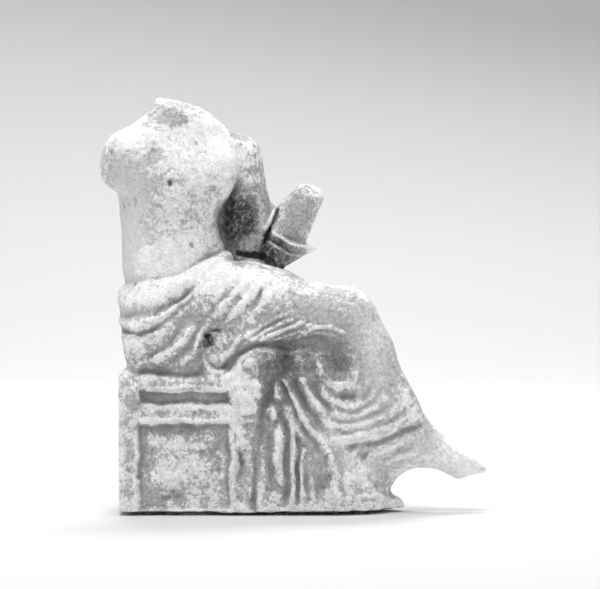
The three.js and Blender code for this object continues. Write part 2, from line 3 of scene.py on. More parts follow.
import bpy
import numpy as np
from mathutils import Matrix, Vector


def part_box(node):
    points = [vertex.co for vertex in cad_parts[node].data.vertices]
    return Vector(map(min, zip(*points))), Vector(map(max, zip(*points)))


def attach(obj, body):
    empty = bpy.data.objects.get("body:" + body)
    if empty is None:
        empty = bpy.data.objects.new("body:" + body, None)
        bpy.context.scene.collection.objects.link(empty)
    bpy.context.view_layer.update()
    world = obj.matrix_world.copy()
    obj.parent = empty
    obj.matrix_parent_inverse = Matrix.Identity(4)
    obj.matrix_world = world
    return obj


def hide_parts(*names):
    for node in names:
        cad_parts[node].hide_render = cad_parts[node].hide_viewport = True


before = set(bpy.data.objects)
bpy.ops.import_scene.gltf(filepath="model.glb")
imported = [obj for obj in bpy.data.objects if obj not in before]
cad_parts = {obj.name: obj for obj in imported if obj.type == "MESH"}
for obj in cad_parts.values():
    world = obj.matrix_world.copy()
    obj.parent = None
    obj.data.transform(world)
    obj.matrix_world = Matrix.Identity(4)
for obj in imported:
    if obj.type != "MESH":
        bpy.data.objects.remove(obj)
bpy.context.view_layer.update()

# Figure and seat. One piece of fired clay, pressed in a mould and luted while wet: a half-draped woman
# without head or right arm on a square block seat. Her masses are given below as distances to their
# surfaces, in millimetres: +X is the way she faces, -Y the finished side, +Z up.
TURN = 34.0
FIGURE_LOW = np.array([-81.0, -31.0, -3.6], np.float32)
FIGURE_HIGH = np.array([84.0, 31.0, 172.0], np.float32)
GRID = 0.6
MOST_TRIANGLES = 194000


def vec(*v):
    return np.array(v, np.float32)


def smooth(v, low, high):
    t = np.clip((v - low) / (high - low), 0, 1)
    return t * t * (3 - 2 * t)


def egg(p, centre, radii, turn=0.0):
    """Ellipsoid, turned about the upright axis by so many degrees."""
    c, s = math.cos(math.radians(turn)), math.sin(math.radians(turn))
    d = p - vec(*centre)
    q = np.stack([d[:, 0] * c + d[:, 1] * s, d[:, 0] * s - d[:, 1] * c, d[:, 2]], -1) / vec(*radii)
    near = np.sqrt((q * q).sum(-1)) + 1e-6
    far = np.sqrt(((q / vec(*radii)) ** 2).sum(-1)) + 1e-6
    return near * (near - 1) / far


def limb(p, start, end, r_start, r_end, depth=1.0):
    """Round cone between two points, its depth across the figure scaled."""
    s = vec(1, 1 / depth, 1)
    a = vec(*start) * s
    along = vec(*end) * s - a
    q = p * s - a
    t = np.clip((q @ along) / (along @ along), 0, 1)
    return np.sqrt(((q - t[:, None] * along) ** 2).sum(-1)) - (r_start + (r_end - r_start) * t)


def block(p, low, high, rounding):
    low, high = vec(*low), vec(*high)
    q = np.abs(p - (low + high) / 2) - (high - low) / 2 + rounding
    return np.sqrt((np.maximum(q, 0) ** 2).sum(-1)) + np.minimum(q.max(-1), 0) - rounding


def join(a, b, blend):
    h = np.maximum(blend - np.abs(a - b), 0) / blend
    return np.minimum(a, b) - h * h * blend * 0.25


def carve(a, b, blend):
    return -join(-a, b, blend)


def torso(p):
    d = egg(p, (-46.8, 1, 138), (22, 14.6, 25), TURN)
    d = join(d, egg(p, (-49.0, 0.2, 112), (17.4, 16, 28), TURN), 11)
    d = join(d, egg(p, (-50.6, 0, 97), (17.6, 15.5, 16), TURN + 15), 8)
    d = join(d, limb(p, (-60.0, 6, 134), (-57.0, 8, 100), 10.2, 8.6), 12)
    d = join(d, limb(p, (-54.5, -1.6, 149.2), (-65.8, -8.0, 143.4), 9.6, 10.0), 9)
    d = join(d, limb(p, (-65.8, -8.0, 143.4), (-68.8, -6.0, 138.4), 10.0, 8.8), 4)
    d = join(d, limb(p, (-42, 4, 154.4), (-23.4, 13, 142.4), 9.4, 8.2), 7)
    d = join(d, limb(p, (-47.5, 1, 151), (-50, 0, 172), 8.6, 5.1), 6)
    d = join(d, egg(p, (-47.6, -10.4, 134), (9, 7.2, 9.6)), 10)
    d = join(d, limb(p, (-34.6, 3, 104), (-32, 5, 96), 6.6, 7.4), 8)
    return join(d, egg(p, (-31.8, -3.4, 136.6), (9, 8.2, 11)), 8)


def upper_arm(p):
    d = limb(p, (-22.4, 13, 142.6), (-19.4, 14, 124), 8.0, 8.0)
    d = join(d, limb(p, (-19.4, 14, 124), (-19.5, 14, 103), 8.0, 8.4), 3)
    d = join(d, egg(p, (-17, 13, 114), (9.6, 8.6, 11)), 3)
    d = join(d, limb(p, (-19.2, 14, 131), (-17.8, 13.5, 117), 8.0, 9.6), 3)
    d = join(d, limb(p, (-33, 15.5, 138), (-31, 15.5, 98), 6.4, 7), 5)
    return join(d, limb(p, (-20, 17, 100), (-9, 17, 98), 7, 5), 3)


# The raised forearm and the square, stepped end of the mantle that it rises from, one corner towards -Y
FOREARM_ROOT = (-4.0, 9.8, 112.4)
FOREARM_TIP = (10.2, 5.2, 133.1)
FOREARM_AXIS = vec(0.4, -0.18, 0.86) / np.linalg.norm(vec(0.4, -0.18, 0.86))
CUFF_TURN = math.radians(10)
CUFF_NEAR = vec(0, -1, 0) + FOREARM_AXIS * FOREARM_AXIS[1]
CUFF_NEAR /= np.linalg.norm(CUFF_NEAR)
CUFF_NEAR = CUFF_NEAR * math.cos(CUFF_TURN) + np.cross(FOREARM_AXIS, CUFF_NEAR) * math.sin(CUFF_TURN)
CUFF_SIDE = np.cross(CUFF_NEAR, FOREARM_AXIS)
CUFF_MID = vec(-1.4, 8.6, 109.6)


def cuff(p):
    q = p - CUFF_MID
    w = q @ FOREARM_AXIS
    size = np.where(w > -1.8, 11.7, np.where(w > -3.0, 10.9, 11.5 + 0.05 * w))
    walls = (np.abs(q @ CUFF_NEAR) + np.abs(q @ CUFF_SIDE) - size) * 0.707
    under = (q - vec(-3.4, -9.1, -12.0)) @ vec(-0.036, 0.629, -0.776)
    return np.maximum.reduce([walls, w - 1.2, under])


def lap(p):
    d = egg(p, (-53.4, 0, 79.0), (16.6, 26, 20))
    d = join(d, limb(p, (-30, -8, 84.6), (20.6, -8, 77.8), 18, 12.0), 8)
    d = join(d, limb(p, (-30, 9, 83), (17.4, 9, 77.4), 16.6, 11.4), 8)
    d = join(d, block(p, (-67.2, -24.4, 57), (-2, 24.4, 78), 8), 4)
    return join(d, block(p, (-65.4, -23.4, 48), (-6, 23.4, 72), 4), 3)


def waist_roll(p):
    level = 87 + np.maximum(p[:, 0] + 60, 0) * 0.2 + np.maximum(p[:, 0] + 46, 0) * 0.36
    radial = (np.sqrt(((p[:, 0] + 47.6) / 18.6) ** 2 + (p[:, 1] / 18) ** 2) - 1) * 18
    return np.sqrt((radial * 1.15) ** 2 + (p[:, 2] - level) ** 2) - 5.3


def lower_legs(p):
    d = limb(p, (20.6, -8, 77.8), (27.1, -7, 65.0), 12, 12.4)
    d = join(d, limb(p, (27.1, -7, 65.0), (39.0, -5, 43), 12.4, 10.4), 5)
    return join(d, limb(p, (38.4, -5, 43), (54.6, 0, 27.4), 10.4, 5.8), 5)


def raised_foot(p):
    d = limb(p, (56, 0.5, 25), (67.6, 1.5, 19.0), 7.0, 5.2)
    return join(d, limb(p, (67.6, 1.5, 19.0), (77, 2.5, 16.9), 5.2, 1.7), 3)


def skirt(p):
    d = block(p, (-20, -23, -12), (24, 23, 72), 10)
    d = join(d, limb(p, (20, 0, 60), (26.5, 0, -12), 13, 15, 1.4), 7)
    d = join(d, limb(p, (26, -1, 47), (47, 0, 27), 13, 9, 1.2), 8)
    d = join(d, limb(p, (28, -1, 34), (41, 0, 19.5), 14, 9, 1.2), 6)
    arch = np.hypot(np.minimum(p[:, 0] - 50.6, 0), p[:, 2] - 6.9) - 10.9
    return carve(d, arch, 2)


def seat(p):
    return block(p, (-69.5, -24, -8), (-12.6, 24, 57.4), 2.2)


# Folds, grooves and sunk panels: heights over the side elevation, drawn stroke by stroke. A point of the
# drawing is (x to the front, y down); ridges are positive, valleys negative, in millimetres.
UNIT = 0.398
DRAWN_MIDDLE = (293.5, 295.9)
MIDDLE_HEIGHT = 87.6


def drawn(a, b):
    return (a - DRAWN_MIDDLE[0]) * UNIT, MIDDLE_HEIGHT + (DRAWN_MIDDLE[1] - b) * UNIT


class Elevation:
    """Heights of the relief on one side of the figure, on a grid over its elevation."""

    STEP = 0.3
    POINTS_IN_STROKE = 28
    REACH = 2.6

    def __init__(self):
        self.x = np.arange(FIGURE_LOW[0], FIGURE_HIGH[0], self.STEP)
        self.z = np.arange(FIGURE_LOW[2], FIGURE_HIGH[2], self.STEP)
        self.h = np.zeros((len(self.x), len(self.z)), np.float32)

    def stroke(self, points, width, height, taper=0.2, under=1.0):
        """One ridge or valley along a curve; 'under' narrows the side to the right of the way it runs."""
        t = np.linspace(0, 1, self.POINTS_IN_STROKE)[:, None]
        line = [np.array([drawn(*point)]) for point in points]
        while len(line) > 1:
            line = [a * (1 - t) + b * t for a, b in zip(line, line[1:])]
        line = line[0]
        reach = self.REACH * width
        i0, i1 = np.searchsorted(self.x, [line[:, 0].min() - reach, line[:, 0].max() + reach])
        k0, k1 = np.searchsorted(self.z, [line[:, 1].min() - reach, line[:, 1].max() + reach])
        gx, gz = np.meshgrid(self.x[i0:i1], self.z[k0:k1], indexing="ij")
        best = np.full(gx.shape, 1e9)
        where = np.zeros(gx.shape)
        right = np.zeros(gx.shape, bool)
        for s in range(len(line) - 1):
            a, e = line[s], line[s + 1] - line[s]
            u = np.clip(((gx - a[0]) * e[0] + (gz - a[1]) * e[1]) / (e @ e + 1e-9), 0, 1)
            d = np.hypot(gx - a[0] - u * e[0], gz - a[1] - u * e[1])
            nearer = d < best
            best[nearer] = d[nearer]
            where[nearer] = ((s + u) / (len(line) - 1))[nearer]
            right[nearer] = (e[0] * (gz - a[1]) - e[1] * (gx - a[0]) < 0)[nearer]
        ends = smooth(np.minimum(where, 1 - where), 0, taper) * 0.85 + 0.15
        wide = np.where(right, width * under, width)
        self.h[i0:i1, k0:k1] += (height * np.exp(-((best / wide) ** 2)) * ends).astype(np.float32)

    def family(self, first, last, count, width, height, gap):
        """Folds side by side, from one curve to another, with valleys of depth 'gap' between them."""
        for k in range(2 * count - 1):
            t = k / (2 * count - 2)
            points = [(a[0] + (b[0] - a[0]) * t, a[1] + (b[1] - a[1]) * t) for a, b in zip(first, last)]
            if k % 2 == 0:
                self.stroke(points, width, height)
            else:
                self.stroke(points, width * 0.85, -gap)

    def sink(self, corners, depth, soft, rise=0.0, edge=4.0):
        """A sunk field between left, right, low and high; 'rise' lifts its middle, 'edge' mm in."""
        x0, x1, z0, z1 = corners
        gx, gz = self.x[:, None], self.z[None, :]
        a, b = np.minimum(gx - x0, x1 - gx), np.minimum(gz - z0, z1 - gz)
        sunk = smooth(a, -soft / 2, soft / 2) * smooth(b, -soft / 2, soft / 2)
        self.h -= (depth * sunk).astype(np.float32)
        self.h += (rise * smooth(a, 0, edge * 2) * smooth(b, 0, edge * 2)).astype(np.float32)

    def at(self, p):
        """Height over each point, with the slight waver of a hand-worked mould."""
        x, z = p[:, 0], p[:, 2]
        wave = 0.40 * np.sin(x * 0.19 + z * 0.36 + 1.0) + 0.16 * np.sin(x * 0.5 - z * 0.62)
        bend = 0.35 * np.sin(z * 0.17 - x * 0.33 + 2.0) + 0.16 * np.sin(z * 0.45 + x * 0.66 + 4.0)
        u = np.clip((x + wave - self.x[0]) / self.STEP, 0, len(self.x) - 1.001)
        v = np.clip((z + bend - self.z[0]) / self.STEP, 0, len(self.z) - 1.001)
        i, k = u.astype(int), v.astype(int)
        fu, fv = u - i, v - k
        h = self.h
        return ((h[i, k] * (1 - fu) + h[i + 1, k] * fu) * (1 - fv)
                + (h[i, k + 1] * (1 - fu) + h[i + 1, k + 1] * fu) * fv)


def hip_bands(s):
    s([(104, 302), (140, 307), (166, 294), (204, 266)], 4.2, 0.8)
    s([(108, 313), (140, 322), (170, 309), (208, 280)], 2.1, -1.1, 0.25, 0.7)
    s([(150, 320), (165, 313), (182, 303), (204, 286)], 0.9, 0.6)
    s([(158, 325), (172, 319), (186, 306), (200, 290)], 0.9, -0.6)
    s([(108, 316), (134, 338), (150, 320), (182, 310)], 1.8, 0.7, 0.15)
    s([(108, 322), (130, 341), (146, 336), (166, 319)], 1.3, -1.3, 0.2, 0.7)
    s([(116, 345), (145, 346), (158, 332), (180, 321)], 3.2, 1.0, 0.15)
    s([(138, 356), (162, 359), (174, 342), (186, 318)], 1.6, -1.0, 0.25, 0.7)
    s([(146, 361), (168, 360), (180, 348), (198, 320)], 1.6, 0.8)
    s([(166, 363), (182, 360), (188, 346), (202, 324)], 1.0, -0.7)
    s([(180, 366), (190, 360), (194, 348), (205, 330)], 1.0, 0.7)
    s([(190, 368), (193, 358), (198, 348), (201, 338)], 0.8, 0.5)
    s([(128, 367), (160, 370), (185, 372), (208, 373)], 3.2, -1.5, 0.1)
    s([(134, 371), (160, 374), (180, 375), (206, 376)], 1.3, -1.4, 0.1)
    s([(203, 350), (205, 378), (226, 378), (233, 355)], 0.9, 0.8, 0.25)
    s([(207, 352), (209, 372), (224, 371), (228, 356)], 1.0, -0.5, 0.3)
    s([(211, 356), (213, 369), (222, 368), (224, 360)], 0.8, 0.4)
    s([(231, 355), (235, 347), (238, 340), (243, 331)], 0.75, 1.1)
    s([(263, 282), (258, 300), (250, 318), (242, 334)], 1.1, -0.6)
    s([(263, 286), (262, 290), (258, 298)], 0.9, -0.8)


def hip_stripes(side):
    side.family([(192, 318), (212, 302), (226, 288), (240, 270)],
                [(244, 328), (256, 310), (268, 296), (280, 284)], 4, 1.2, 0.4, 0.35)


def under_thigh(s):
    s([(220, 374), (236, 347), (262, 343), (292, 344)], 2.0, -2.3, 0.12)
    s([(280, 346), (304, 341), (324, 338), (350, 350)], 2.4, -2.2)
    s([(272, 356), (298, 346), (330, 344), (350, 376)], 4.6, -2.4)
    s([(284, 350), (289, 364), (292, 380)], 3.2, -2.4, 0.3)
    s([(322, 352), (336, 352), (346, 362), (343, 378)], 3.6, -2.4)
    s([(302, 350), (308, 362), (312, 376)], 4.0, -1.6, 0.3)
    s([(318, 355), (318, 392), (356, 394), (358, 366)], 1.5, 1.9, 0.15)
    s([(332, 379), (333, 380), (334, 381)], 0.6, -1.2, 0.4)
    s([(368, 361), (368, 356), (374, 356), (374, 361)], 0.5, 0.5)
    s([(368, 361), (368, 366), (374, 366), (374, 361)], 0.5, 0.5)
    s([(296, 342), (308, 327), (330, 320), (356, 338)], 0.9, 1.3)
    s([(276, 345), (296, 336), (316, 333), (340, 335)], 0.8, 0.8)
    s([(238, 362), (256, 343), (278, 343), (273, 380)], 1.2, 1.4, 0.15)
    s([(246, 372), (256, 362), (264, 356), (267, 366)], 3.2, 1.5)
    s([(226, 382), (236, 371), (246, 364), (258, 357)], 1.1, 0.7)
    s([(236, 379), (250, 379), (264, 379)], 1.1, -0.7)


def under_thigh_folds(side):
    side.family([(238, 340), (254, 330), (272, 321), (286, 314)],
                [(262, 343), (284, 338), (300, 333), (320, 319)], 4, 0.9, 0.7, 0.35)


def hanging_folds(s):
    s([(277, 374), (266, 392), (261, 420), (259, 455)], 1.7, -1.6, 0.1)
    s([(259, 448), (257, 470), (255, 490), (254, 514)], 1.8, -1.6, 0.1)
    s([(268, 388), (269, 400), (270, 410)], 1.6, -0.9)
    s([(279, 382), (278, 390), (279, 396), (281, 405)], 1.5, 1.8, 0.3)
    s([(275, 411), (276, 416), (277, 422)], 1.7, 1.5, 0.3)
    s([(282, 376), (286, 392), (291, 404), (304, 424)], 1.1, -0.9)
    s([(284, 376), (292, 396), (300, 416), (319, 441)], 1.1, 2.2, 0.1)
    s([(294, 376), (301, 400), (310, 414), (329, 437)], 1.3, -1.3, 0.15)
    s([(301, 376), (306, 388), (312, 398), (323, 413)], 1.5, 2.3, 0.15)
    s([(312, 378), (320, 393), (326, 404), (334, 415)], 1.6, -1.1)
    s([(284, 404), (290, 418), (298, 430), (312, 446)], 1.2, 0.8)
    s([(278, 408), (288, 428), (298, 440), (306, 452)], 1.4, -0.7)
    s([(281, 428), (276, 448), (279, 466), (284, 488)], 2.1, 2.1, 0.15)
    s([(268, 424), (266, 446), (268, 470), (272, 498)], 1.9, -0.6)
    s([(287, 416), (288, 446), (287, 470), (285, 510)], 1.4, -1.2, 0.15)
    s([(293, 427), (295, 450), (296, 478), (292, 506)], 1.0, 2.2, 0.1)
    s([(299, 432), (299, 460), (299, 480), (298, 508)], 1.0, -0.9)
    s([(303, 444), (304, 468), (303, 486), (302, 504)], 1.0, 1.8, 0.15)
    s([(305, 420), (316, 440), (322, 466), (322, 504)], 4.1, -1.7, 0.15)
    s([(313, 474), (314, 490), (312, 504)], 1.1, 0.9)
    s([(321, 437), (332, 456), (336, 478), (338, 507)], 1.8, 1.8, 0.12)
    s([(270, 492), (276, 484), (284, 497)], 1.2, -0.5)


def slung_folds(s):
    s([(338, 399), (346, 394), (352, 396), (360, 397)], 1.8, -1.6, 0.3)
    s([(344, 449), (368, 446), (396, 440), (430, 423)], 1.6, -1.8, 0.15)
    s([(357, 451), (364, 455), (371, 457)], 2.8, -1.6, 0.3)
    s([(372, 458), (384, 452), (396, 450), (412, 442)], 0.9, 1.0)
    s([(378, 463), (392, 458), (402, 454), (420, 448)], 0.8, -0.6)
    s([(384, 468), (396, 462), (406, 459), (422, 454)], 0.9, 0.7)
    s([(344, 470), (352, 486), (350, 506)], 2.0, 0.7)
    s([(352, 498), (368, 494), (384, 500), (400, 506)], 1.2, 0.6)
    s([(366, 476), (374, 484), (380, 490)], 1.4, -0.4)
    s([(322, 384), (326, 398), (338, 408)], 1.4, 0.9)
    s([(362, 402), (368, 396), (374, 384)], 1.4, -0.9)
    s([(388, 372), (394, 384), (392, 398)], 1.6, -0.6)


def slung_family(side):
    side.family([(331, 397), (346, 411), (366, 412), (381, 378)],
                [(325, 437), (356, 441), (392, 433), (418, 410)], 4, 1.5, 0.8, 0.3)


def seat_carving(side, depth):
    side.sink((-60.6, -25.2, 44.8, 49.8), 2.3 * depth, 2.4)
    side.sink((-61.4, -24.8, 1.4, 36.6), 2.2 * depth, 2.8, 1.0 * depth, 7.0)
    side.sink((-24.0, -14.6, -6.0, 37.4), 0.8 * depth, 1.6)
    side.stroke([(246, 382), (245, 398), (246, 416)], 6.0, 1.1 * depth, 0.1)
    side.sink((-22.0, -18.6, 4.0, 26.0), 0.6 * depth, 2.6)
    side.stroke([(146, 388), (170, 387), (200, 387), (228, 388)], 0.8, 0.5 * depth)
    side.stroke([(146, 377), (170, 377), (200, 378), (226, 379)], 1.6, 0.5 * depth)
    side.stroke([(150, 412), (180, 413), (222, 412)], 1.4, -0.3 * depth)
    side.stroke([(146, 421), (170, 420), (200, 420), (230, 421)], 0.8, 0.5 * depth)
    side.stroke([(244, 386), (246, 389), (247, 392)], 0.8, -0.9 * depth, 0.4)
    side.stroke([(234, 380), (246, 377), (256, 379), (261, 388)], 1.6, 0.8 * depth)
    side.stroke([(234, 398), (246, 402), (258, 400)], 2.4, 0.5 * depth)
    side.stroke([(230, 424), (234, 450), (234, 480), (232, 512)], 1.3, 0.6 * depth)
    side.stroke([(239, 448), (243, 462), (241, 480)], 1.0, -1.0 * depth)
    side.stroke([(252, 460), (253, 480), (252, 505)], 0.8, 0.7 * depth)


finished_side = Elevation()
hip_bands(finished_side.stroke)
hip_stripes(finished_side)
under_thigh(finished_side.stroke)
under_thigh_folds(finished_side)
hanging_folds(finished_side.stroke)
slung_folds(finished_side.stroke)
slung_family(finished_side)
seat_carving(finished_side, 1.0)

plain_side = Elevation()
plain_side.family([(108, 313), (159, 319), (182, 299), (217, 275)],
                  [(112, 362), (172, 364), (200, 344), (243, 320)], 4, 2.0, 0.9, 1.1)
plain_side.family([(271, 352), (263, 434), (262, 530)],
                  [(354, 368), (360, 434), (377, 530)], 7, 1.7, 0.8, 1.0)
plain_side.stroke([(227, 362), (258, 345), (304, 347), (329, 352)], 3.0, -1.8)
plain_side.stroke([(128, 367), (160, 370), (185, 372), (208, 373)], 3.2, -1.3, 0.1)
seat_carving(plain_side, 0.7)

torso_marks = Elevation()
torso_marks.stroke([(172, 232), (190, 229), (206, 225)], 0.7, -0.5)
torso_marks.stroke([(192, 240), (193, 244), (193, 248)], 1.4, -0.7, 0.4)
torso_marks.stroke([(170, 178), (171, 182), (172, 187)], 0.9, -1.2, 0.4)
torso_marks.stroke([(204, 335), (209, 334), (214, 337)], 1.5, -3.4, 0.4)
torso_marks.stroke([(207, 338), (210, 343), (211, 348)], 1.9, -2.2, 0.3)
torso_marks.stroke([(203, 346), (205, 347), (207, 348)], 0.8, -1.6, 0.4)
torso_marks.stroke([(215, 330), (218, 330), (221, 332)], 0.7, -1.4, 0.4)
torso_marks.stroke([(205, 330), (209, 331), (212, 330)], 0.6, 1.0, 0.4)
seam = Elevation()
seam.stroke([(279, 207), (273, 221), (268, 238), (261, 255)], 0.9, -2.4, 0.3)


def figure(p):
    d = join(lap(p), lower_legs(p), 6)
    d = join(d, limb(p, (-18, -4, 95.6), (-3.5, -4, 91.6), 6, 6), 3)
    d = join(d, skirt(p), 5)
    d = join(d, raised_foot(p), 4)
    d = join(d, limb(p, (28, 0, 4), (40, -1, 1.4), 6.6, 5.0, 1.4), 3)
    d = join(d, seat(p), 4.5)
    d = join(d, waist_roll(p), 2)
    near = smooth(-p[:, 1], -2, 6)
    d = d - finished_side.at(p) * near - plain_side.at(p) * smooth(p[:, 1], 2, 9)
    # clay fills the space between thighs and skirt, so the hollow there stays shallow
    d = join(d, block(p, (-24, -17.5, 50), (30, 19, 78), 5), 2)
    blend = 3 + 9 * smooth(p[:, 1], 8, 18)
    d = join(d, join(torso(p), upper_arm(p), blend), 1.2)
    d = d - torso_marks.at(p) * near
    d = join(d, cuff(p), 0.5)
    # forearm stump out of the cuff, with the clay behind their seam
    arm = limb(p, FOREARM_ROOT, FOREARM_TIP, 10.0, 4.6, 0.7)
    arm = np.maximum(arm, -((p - CUFF_MID) @ FOREARM_AXIS))
    arm = join(arm, limb(p, (-10.6, 14.5, 121.2), (-9, 14, 107), 4.2, 6.5), 2)
    arm = carve(arm, -((p - vec(8.0, 6.0, 130.0)) @ vec(0.42, -0.6, 0.76)), 0.8)
    d = join(d, arm, 0.8) - seam.at(p)
    # gap below the elbow
    d = carve(d, limb(p, (-22.2, 5, 104.2), (-12.5, 5, 103.0), 0.9, 1.7, 4.0), 0.5)
    d = carve(d, limb(p, (-12.5, 5, 103.0), (-4.6, 5, 98.5), 1.7, 0.7, 4.0), 0.5)
    # worn lower edge, broken neck
    worn = 1.45 - 0.4 * np.exp(-((p[:, 0] + 19) / 9) ** 2) + 0.25 * smooth(p[:, 0], 0, 30)
    worn = worn + 0.12 * np.sin(p[:, 0] * 0.67 + p[:, 1] * 0.4)
    d = d + 4.5 * smooth(worn - p[:, 2], -0.2, 0.3)
    return carve(d, -((p - vec(-49, 0, 165.2)) @ vec(0.22, -0.25, 0.94)), 0.8)


def sampled(field):
    """Field values on the grid: everywhere on every fourth point, and on all points near the surface."""
    coarse = GRID * 4
    n = np.ceil((FIGURE_HIGH - FIGURE_LOW) / coarse).astype(int) + 1
    axes = [FIGURE_LOW[k] + coarse * np.arange(n[k]) for k in range(3)]
    points = np.stack(np.meshgrid(*axes, indexing="ij"), -1).reshape(-1, 3).astype(np.float32)
    rough = field(points).reshape(n)
    fine = rough.repeat(4, 0).repeat(4, 1).repeat(4, 2)
    near = np.argwhere(np.abs(fine) < 2.0 + coarse * 1.8)
    for s in range(0, len(near), 400000):
        some = near[s:s + 400000]
        fine[some[:, 0], some[:, 1], some[:, 2]] = field((FIGURE_LOW + some * GRID).astype(np.float32))
    return fine


def net(values):
    """One vertex in each grid cell that the surface crosses, one square face for each edge it crosses."""
    inside = values < 0
    cells = tuple(s - 1 for s in values.shape)
    total = np.zeros(cells + (3,), np.float32)
    count = np.zeros(cells, np.float32)
    crossings = []
    for axis in range(3):
        a = [slice(None)] * 3
        b = [slice(None)] * 3
        a[axis], b[axis] = slice(0, -1), slice(1, None)
        va, vb = values[tuple(a)], values[tuple(b)]
        cross = inside[tuple(a)] != inside[tuple(b)]
        i = np.argwhere(cross)
        where = i.astype(np.float32)
        where[:, axis] += va[cross] / (va[cross] - vb[cross])
        e, f = [k for k in range(3) if k != axis]
        for de in (0, 1):
            for df in (0, 1):
                c = i.copy()
                c[:, e] -= de
                c[:, f] -= df
                ok = (c >= 0).all(1) & (c < np.array(cells)).all(1)
                np.add.at(total, tuple(c[ok].T), where[ok])
                np.add.at(count, tuple(c[ok].T), 1)
        crossings.append((axis, i, inside[tuple(a)][cross]))
    used = count > 0
    index = -np.ones(cells, np.int64)
    index[used] = np.arange(used.sum())
    verts = FIGURE_LOW + total[used] / count[used][:, None] * GRID
    faces = []
    for axis, i, out in crossings:
        e, f = [(axis + 1) % 3, (axis + 2) % 3]
        i, out = i[(i[:, e] > 0) & (i[:, f] > 0)], out[(i[:, e] > 0) & (i[:, f] > 0)]
        corner = []
        for de, df in ((1, 1), (0, 1), (0, 0), (1, 0)):
            c = i.copy()
            c[:, e] -= de
            c[:, f] -= df
            corner.append(index[tuple(c.T)])
        quad = np.stack(corner, -1)
        quad[~out] = quad[~out][:, ::-1]
        faces.append(quad)
    return verts, np.concatenate(faces)


def mesh_of(name, verts, faces):
    mesh = bpy.data.meshes.new(name)
    mesh.vertices.add(len(verts))
    mesh.vertices.foreach_set("co", np.asarray(verts, np.float32).ravel())
    sides = faces.shape[1]
    mesh.loops.add(faces.size)
    mesh.loops.foreach_set("vertex_index", faces.astype(np.int32).ravel())
    mesh.polygons.add(len(faces))
    mesh.polygons.foreach_set("loop_start", np.arange(0, faces.size, sides, dtype=np.int32))
    mesh.update(calc_edges=True)
    mesh.validate()
    return mesh


def coordinates(mesh):
    co = np.empty(len(mesh.vertices) * 3, np.float32)
    mesh.vertices.foreach_get("co", co)
    return co.reshape(-1, 3)


def directions(mesh):
    no = np.empty(len(mesh.vertices) * 3, np.float32)
    mesh.vertices.foreach_get("normal", no)
    return no.reshape(-1, 3)


# Uneven clay and worn slip, as amounts at points of the surface. First, soft random unevenness of a given
# size in millimetres, about -1 to 1:
def mottle(p, size, seed, layers=4, rough=0.55):
    total = np.zeros(len(p), np.float32)
    strength, whole = 1.0, 0.0
    for layer in range(layers):
        cube = np.random.default_rng(seed * 31 + layer).uniform(-1, 1, (32, 32, 32)).astype(np.float32)
        q = p / size * 2 ** layer + 100.37 * (layer + 1)
        i = np.floor(q).astype(int)
        f = (q - i).astype(np.float32)
        f = f * f * (3 - 2 * f)
        for corner in range(8):
            c = np.array([corner & 1, corner >> 1 & 1, corner >> 2 & 1])
            w = np.prod(np.where(c == 1, f, 1 - f), axis=1)
            j = (i + c) % 32
            total += strength * w * cube[j[:, 0], j[:, 1], j[:, 2]]
        whole += strength
        strength *= rough
    return total / whole * 1.6


# Where slip has lasted or gone on the finished side, and where less of it paints shade: (x, y, half width,
# half height, amount) on the drawing
SLIP_AND_SHADE = [
    # (175, 117) here and (167, 107) on the next line: less slip at the throat, for dirt and painted shade
    # in its hollow
    (198, 156, 38, 32, 0.45), (192, 216, 30, 34, 0.24), (175, 117, 24, 13, -0.36),
    (167, 107, 20, 8, -0.4), (222, 132, 28, 18, 0.5), (135, 138, 22, 15, 0.3), (180, 126, 50, 18, 0.22),
    (186, 250, 34, 24, 0.42), (190, 226, 36, 20, 0.1), (160, 260, 26, 12, 0.45),
    (164, 192, 20, 18, 0.15), (176, 274, 26, 10, 0.75), (128, 228, 17, 58, -0.9),
    (144, 262, 9, 34, 0.35), (215, 272, 34, 16, 0.35), (146, 293, 36, 9, 0.25),
    (116, 165, 15, 26, -0.6), (238, 150, 15, 22, 0.6), (132, 136, 18, 10, 0.5), (238, 280, 44, 14, 0.5),
    (262, 292, 14, 18, 0.3), (208, 318, 26, 22, -0.2), (150, 335, 30, 14, -0.1),
    (180, 352, 24, 14, -0.35), (196, 350, 18, 22, -0.15), (352, 326, 34, 52, -0.55),
    (300, 315, 34, 20, -0.15), (385, 385, 22, 44, -0.3), (320, 290, 50, 8, 0.25),
    (246, 396, 18, 26, 0.6), (240, 365, 18, 14, 0.2), (185, 470, 34, 26, 0.25), (180, 408, 44, 5, 0.3),
    (240, 440, 12, 20, 0.2), (112, 440, 10, 70, -0.3), (278, 390, 16, 50, -0.5),
    # (292, 372) here and (332, 360) on the next line: painted shade under the thigh
    (292, 372, 28, 22, -0.7), (262, 480, 12, 30, -0.15), (314, 468, 14, 34, -0.35),
    (360, 480, 34, 26, 0.3), (345, 415, 28, 30, 0.25), (332, 360, 18, 20, -0.5),
    (458, 465, 32, 12, 1.5), (428, 446, 14, 12, -0.5), (285, 297, 44, 10, -0.2),
    (405, 430, 22, 20, 0.15), (310, 430, 70, 80, -0.20), (248, 228, 20, 46, -0.7),
    # (288, 256): painted shade on the cuff's near facet
    (249, 160, 5, 14, 0.5), (263, 206, 6, 28, 0.5), (302, 214, 22, 34, -1.5), (288, 256, 26, 16, -0.8),
    (309, 187, 12, 10, 0.2), (251, 243, 8, 5, 0.9), (308, 238, 10, 5, 0.5), (170, 400, 60, 5, -0.25),
    (180, 381, 50, 7, -0.35), (155, 322, 36, 14, -0.1), (170, 360, 36, 10, 0.15),
    # (185, 430) and (146, 470): painted shade along the top and the back edge of the sunk side panel
    (355, 485, 34, 20, 0.1), (185, 430, 46, 8, -0.3), (146, 470, 8, 44, -0.3), (252, 470, 14, 40, -0.1),
]
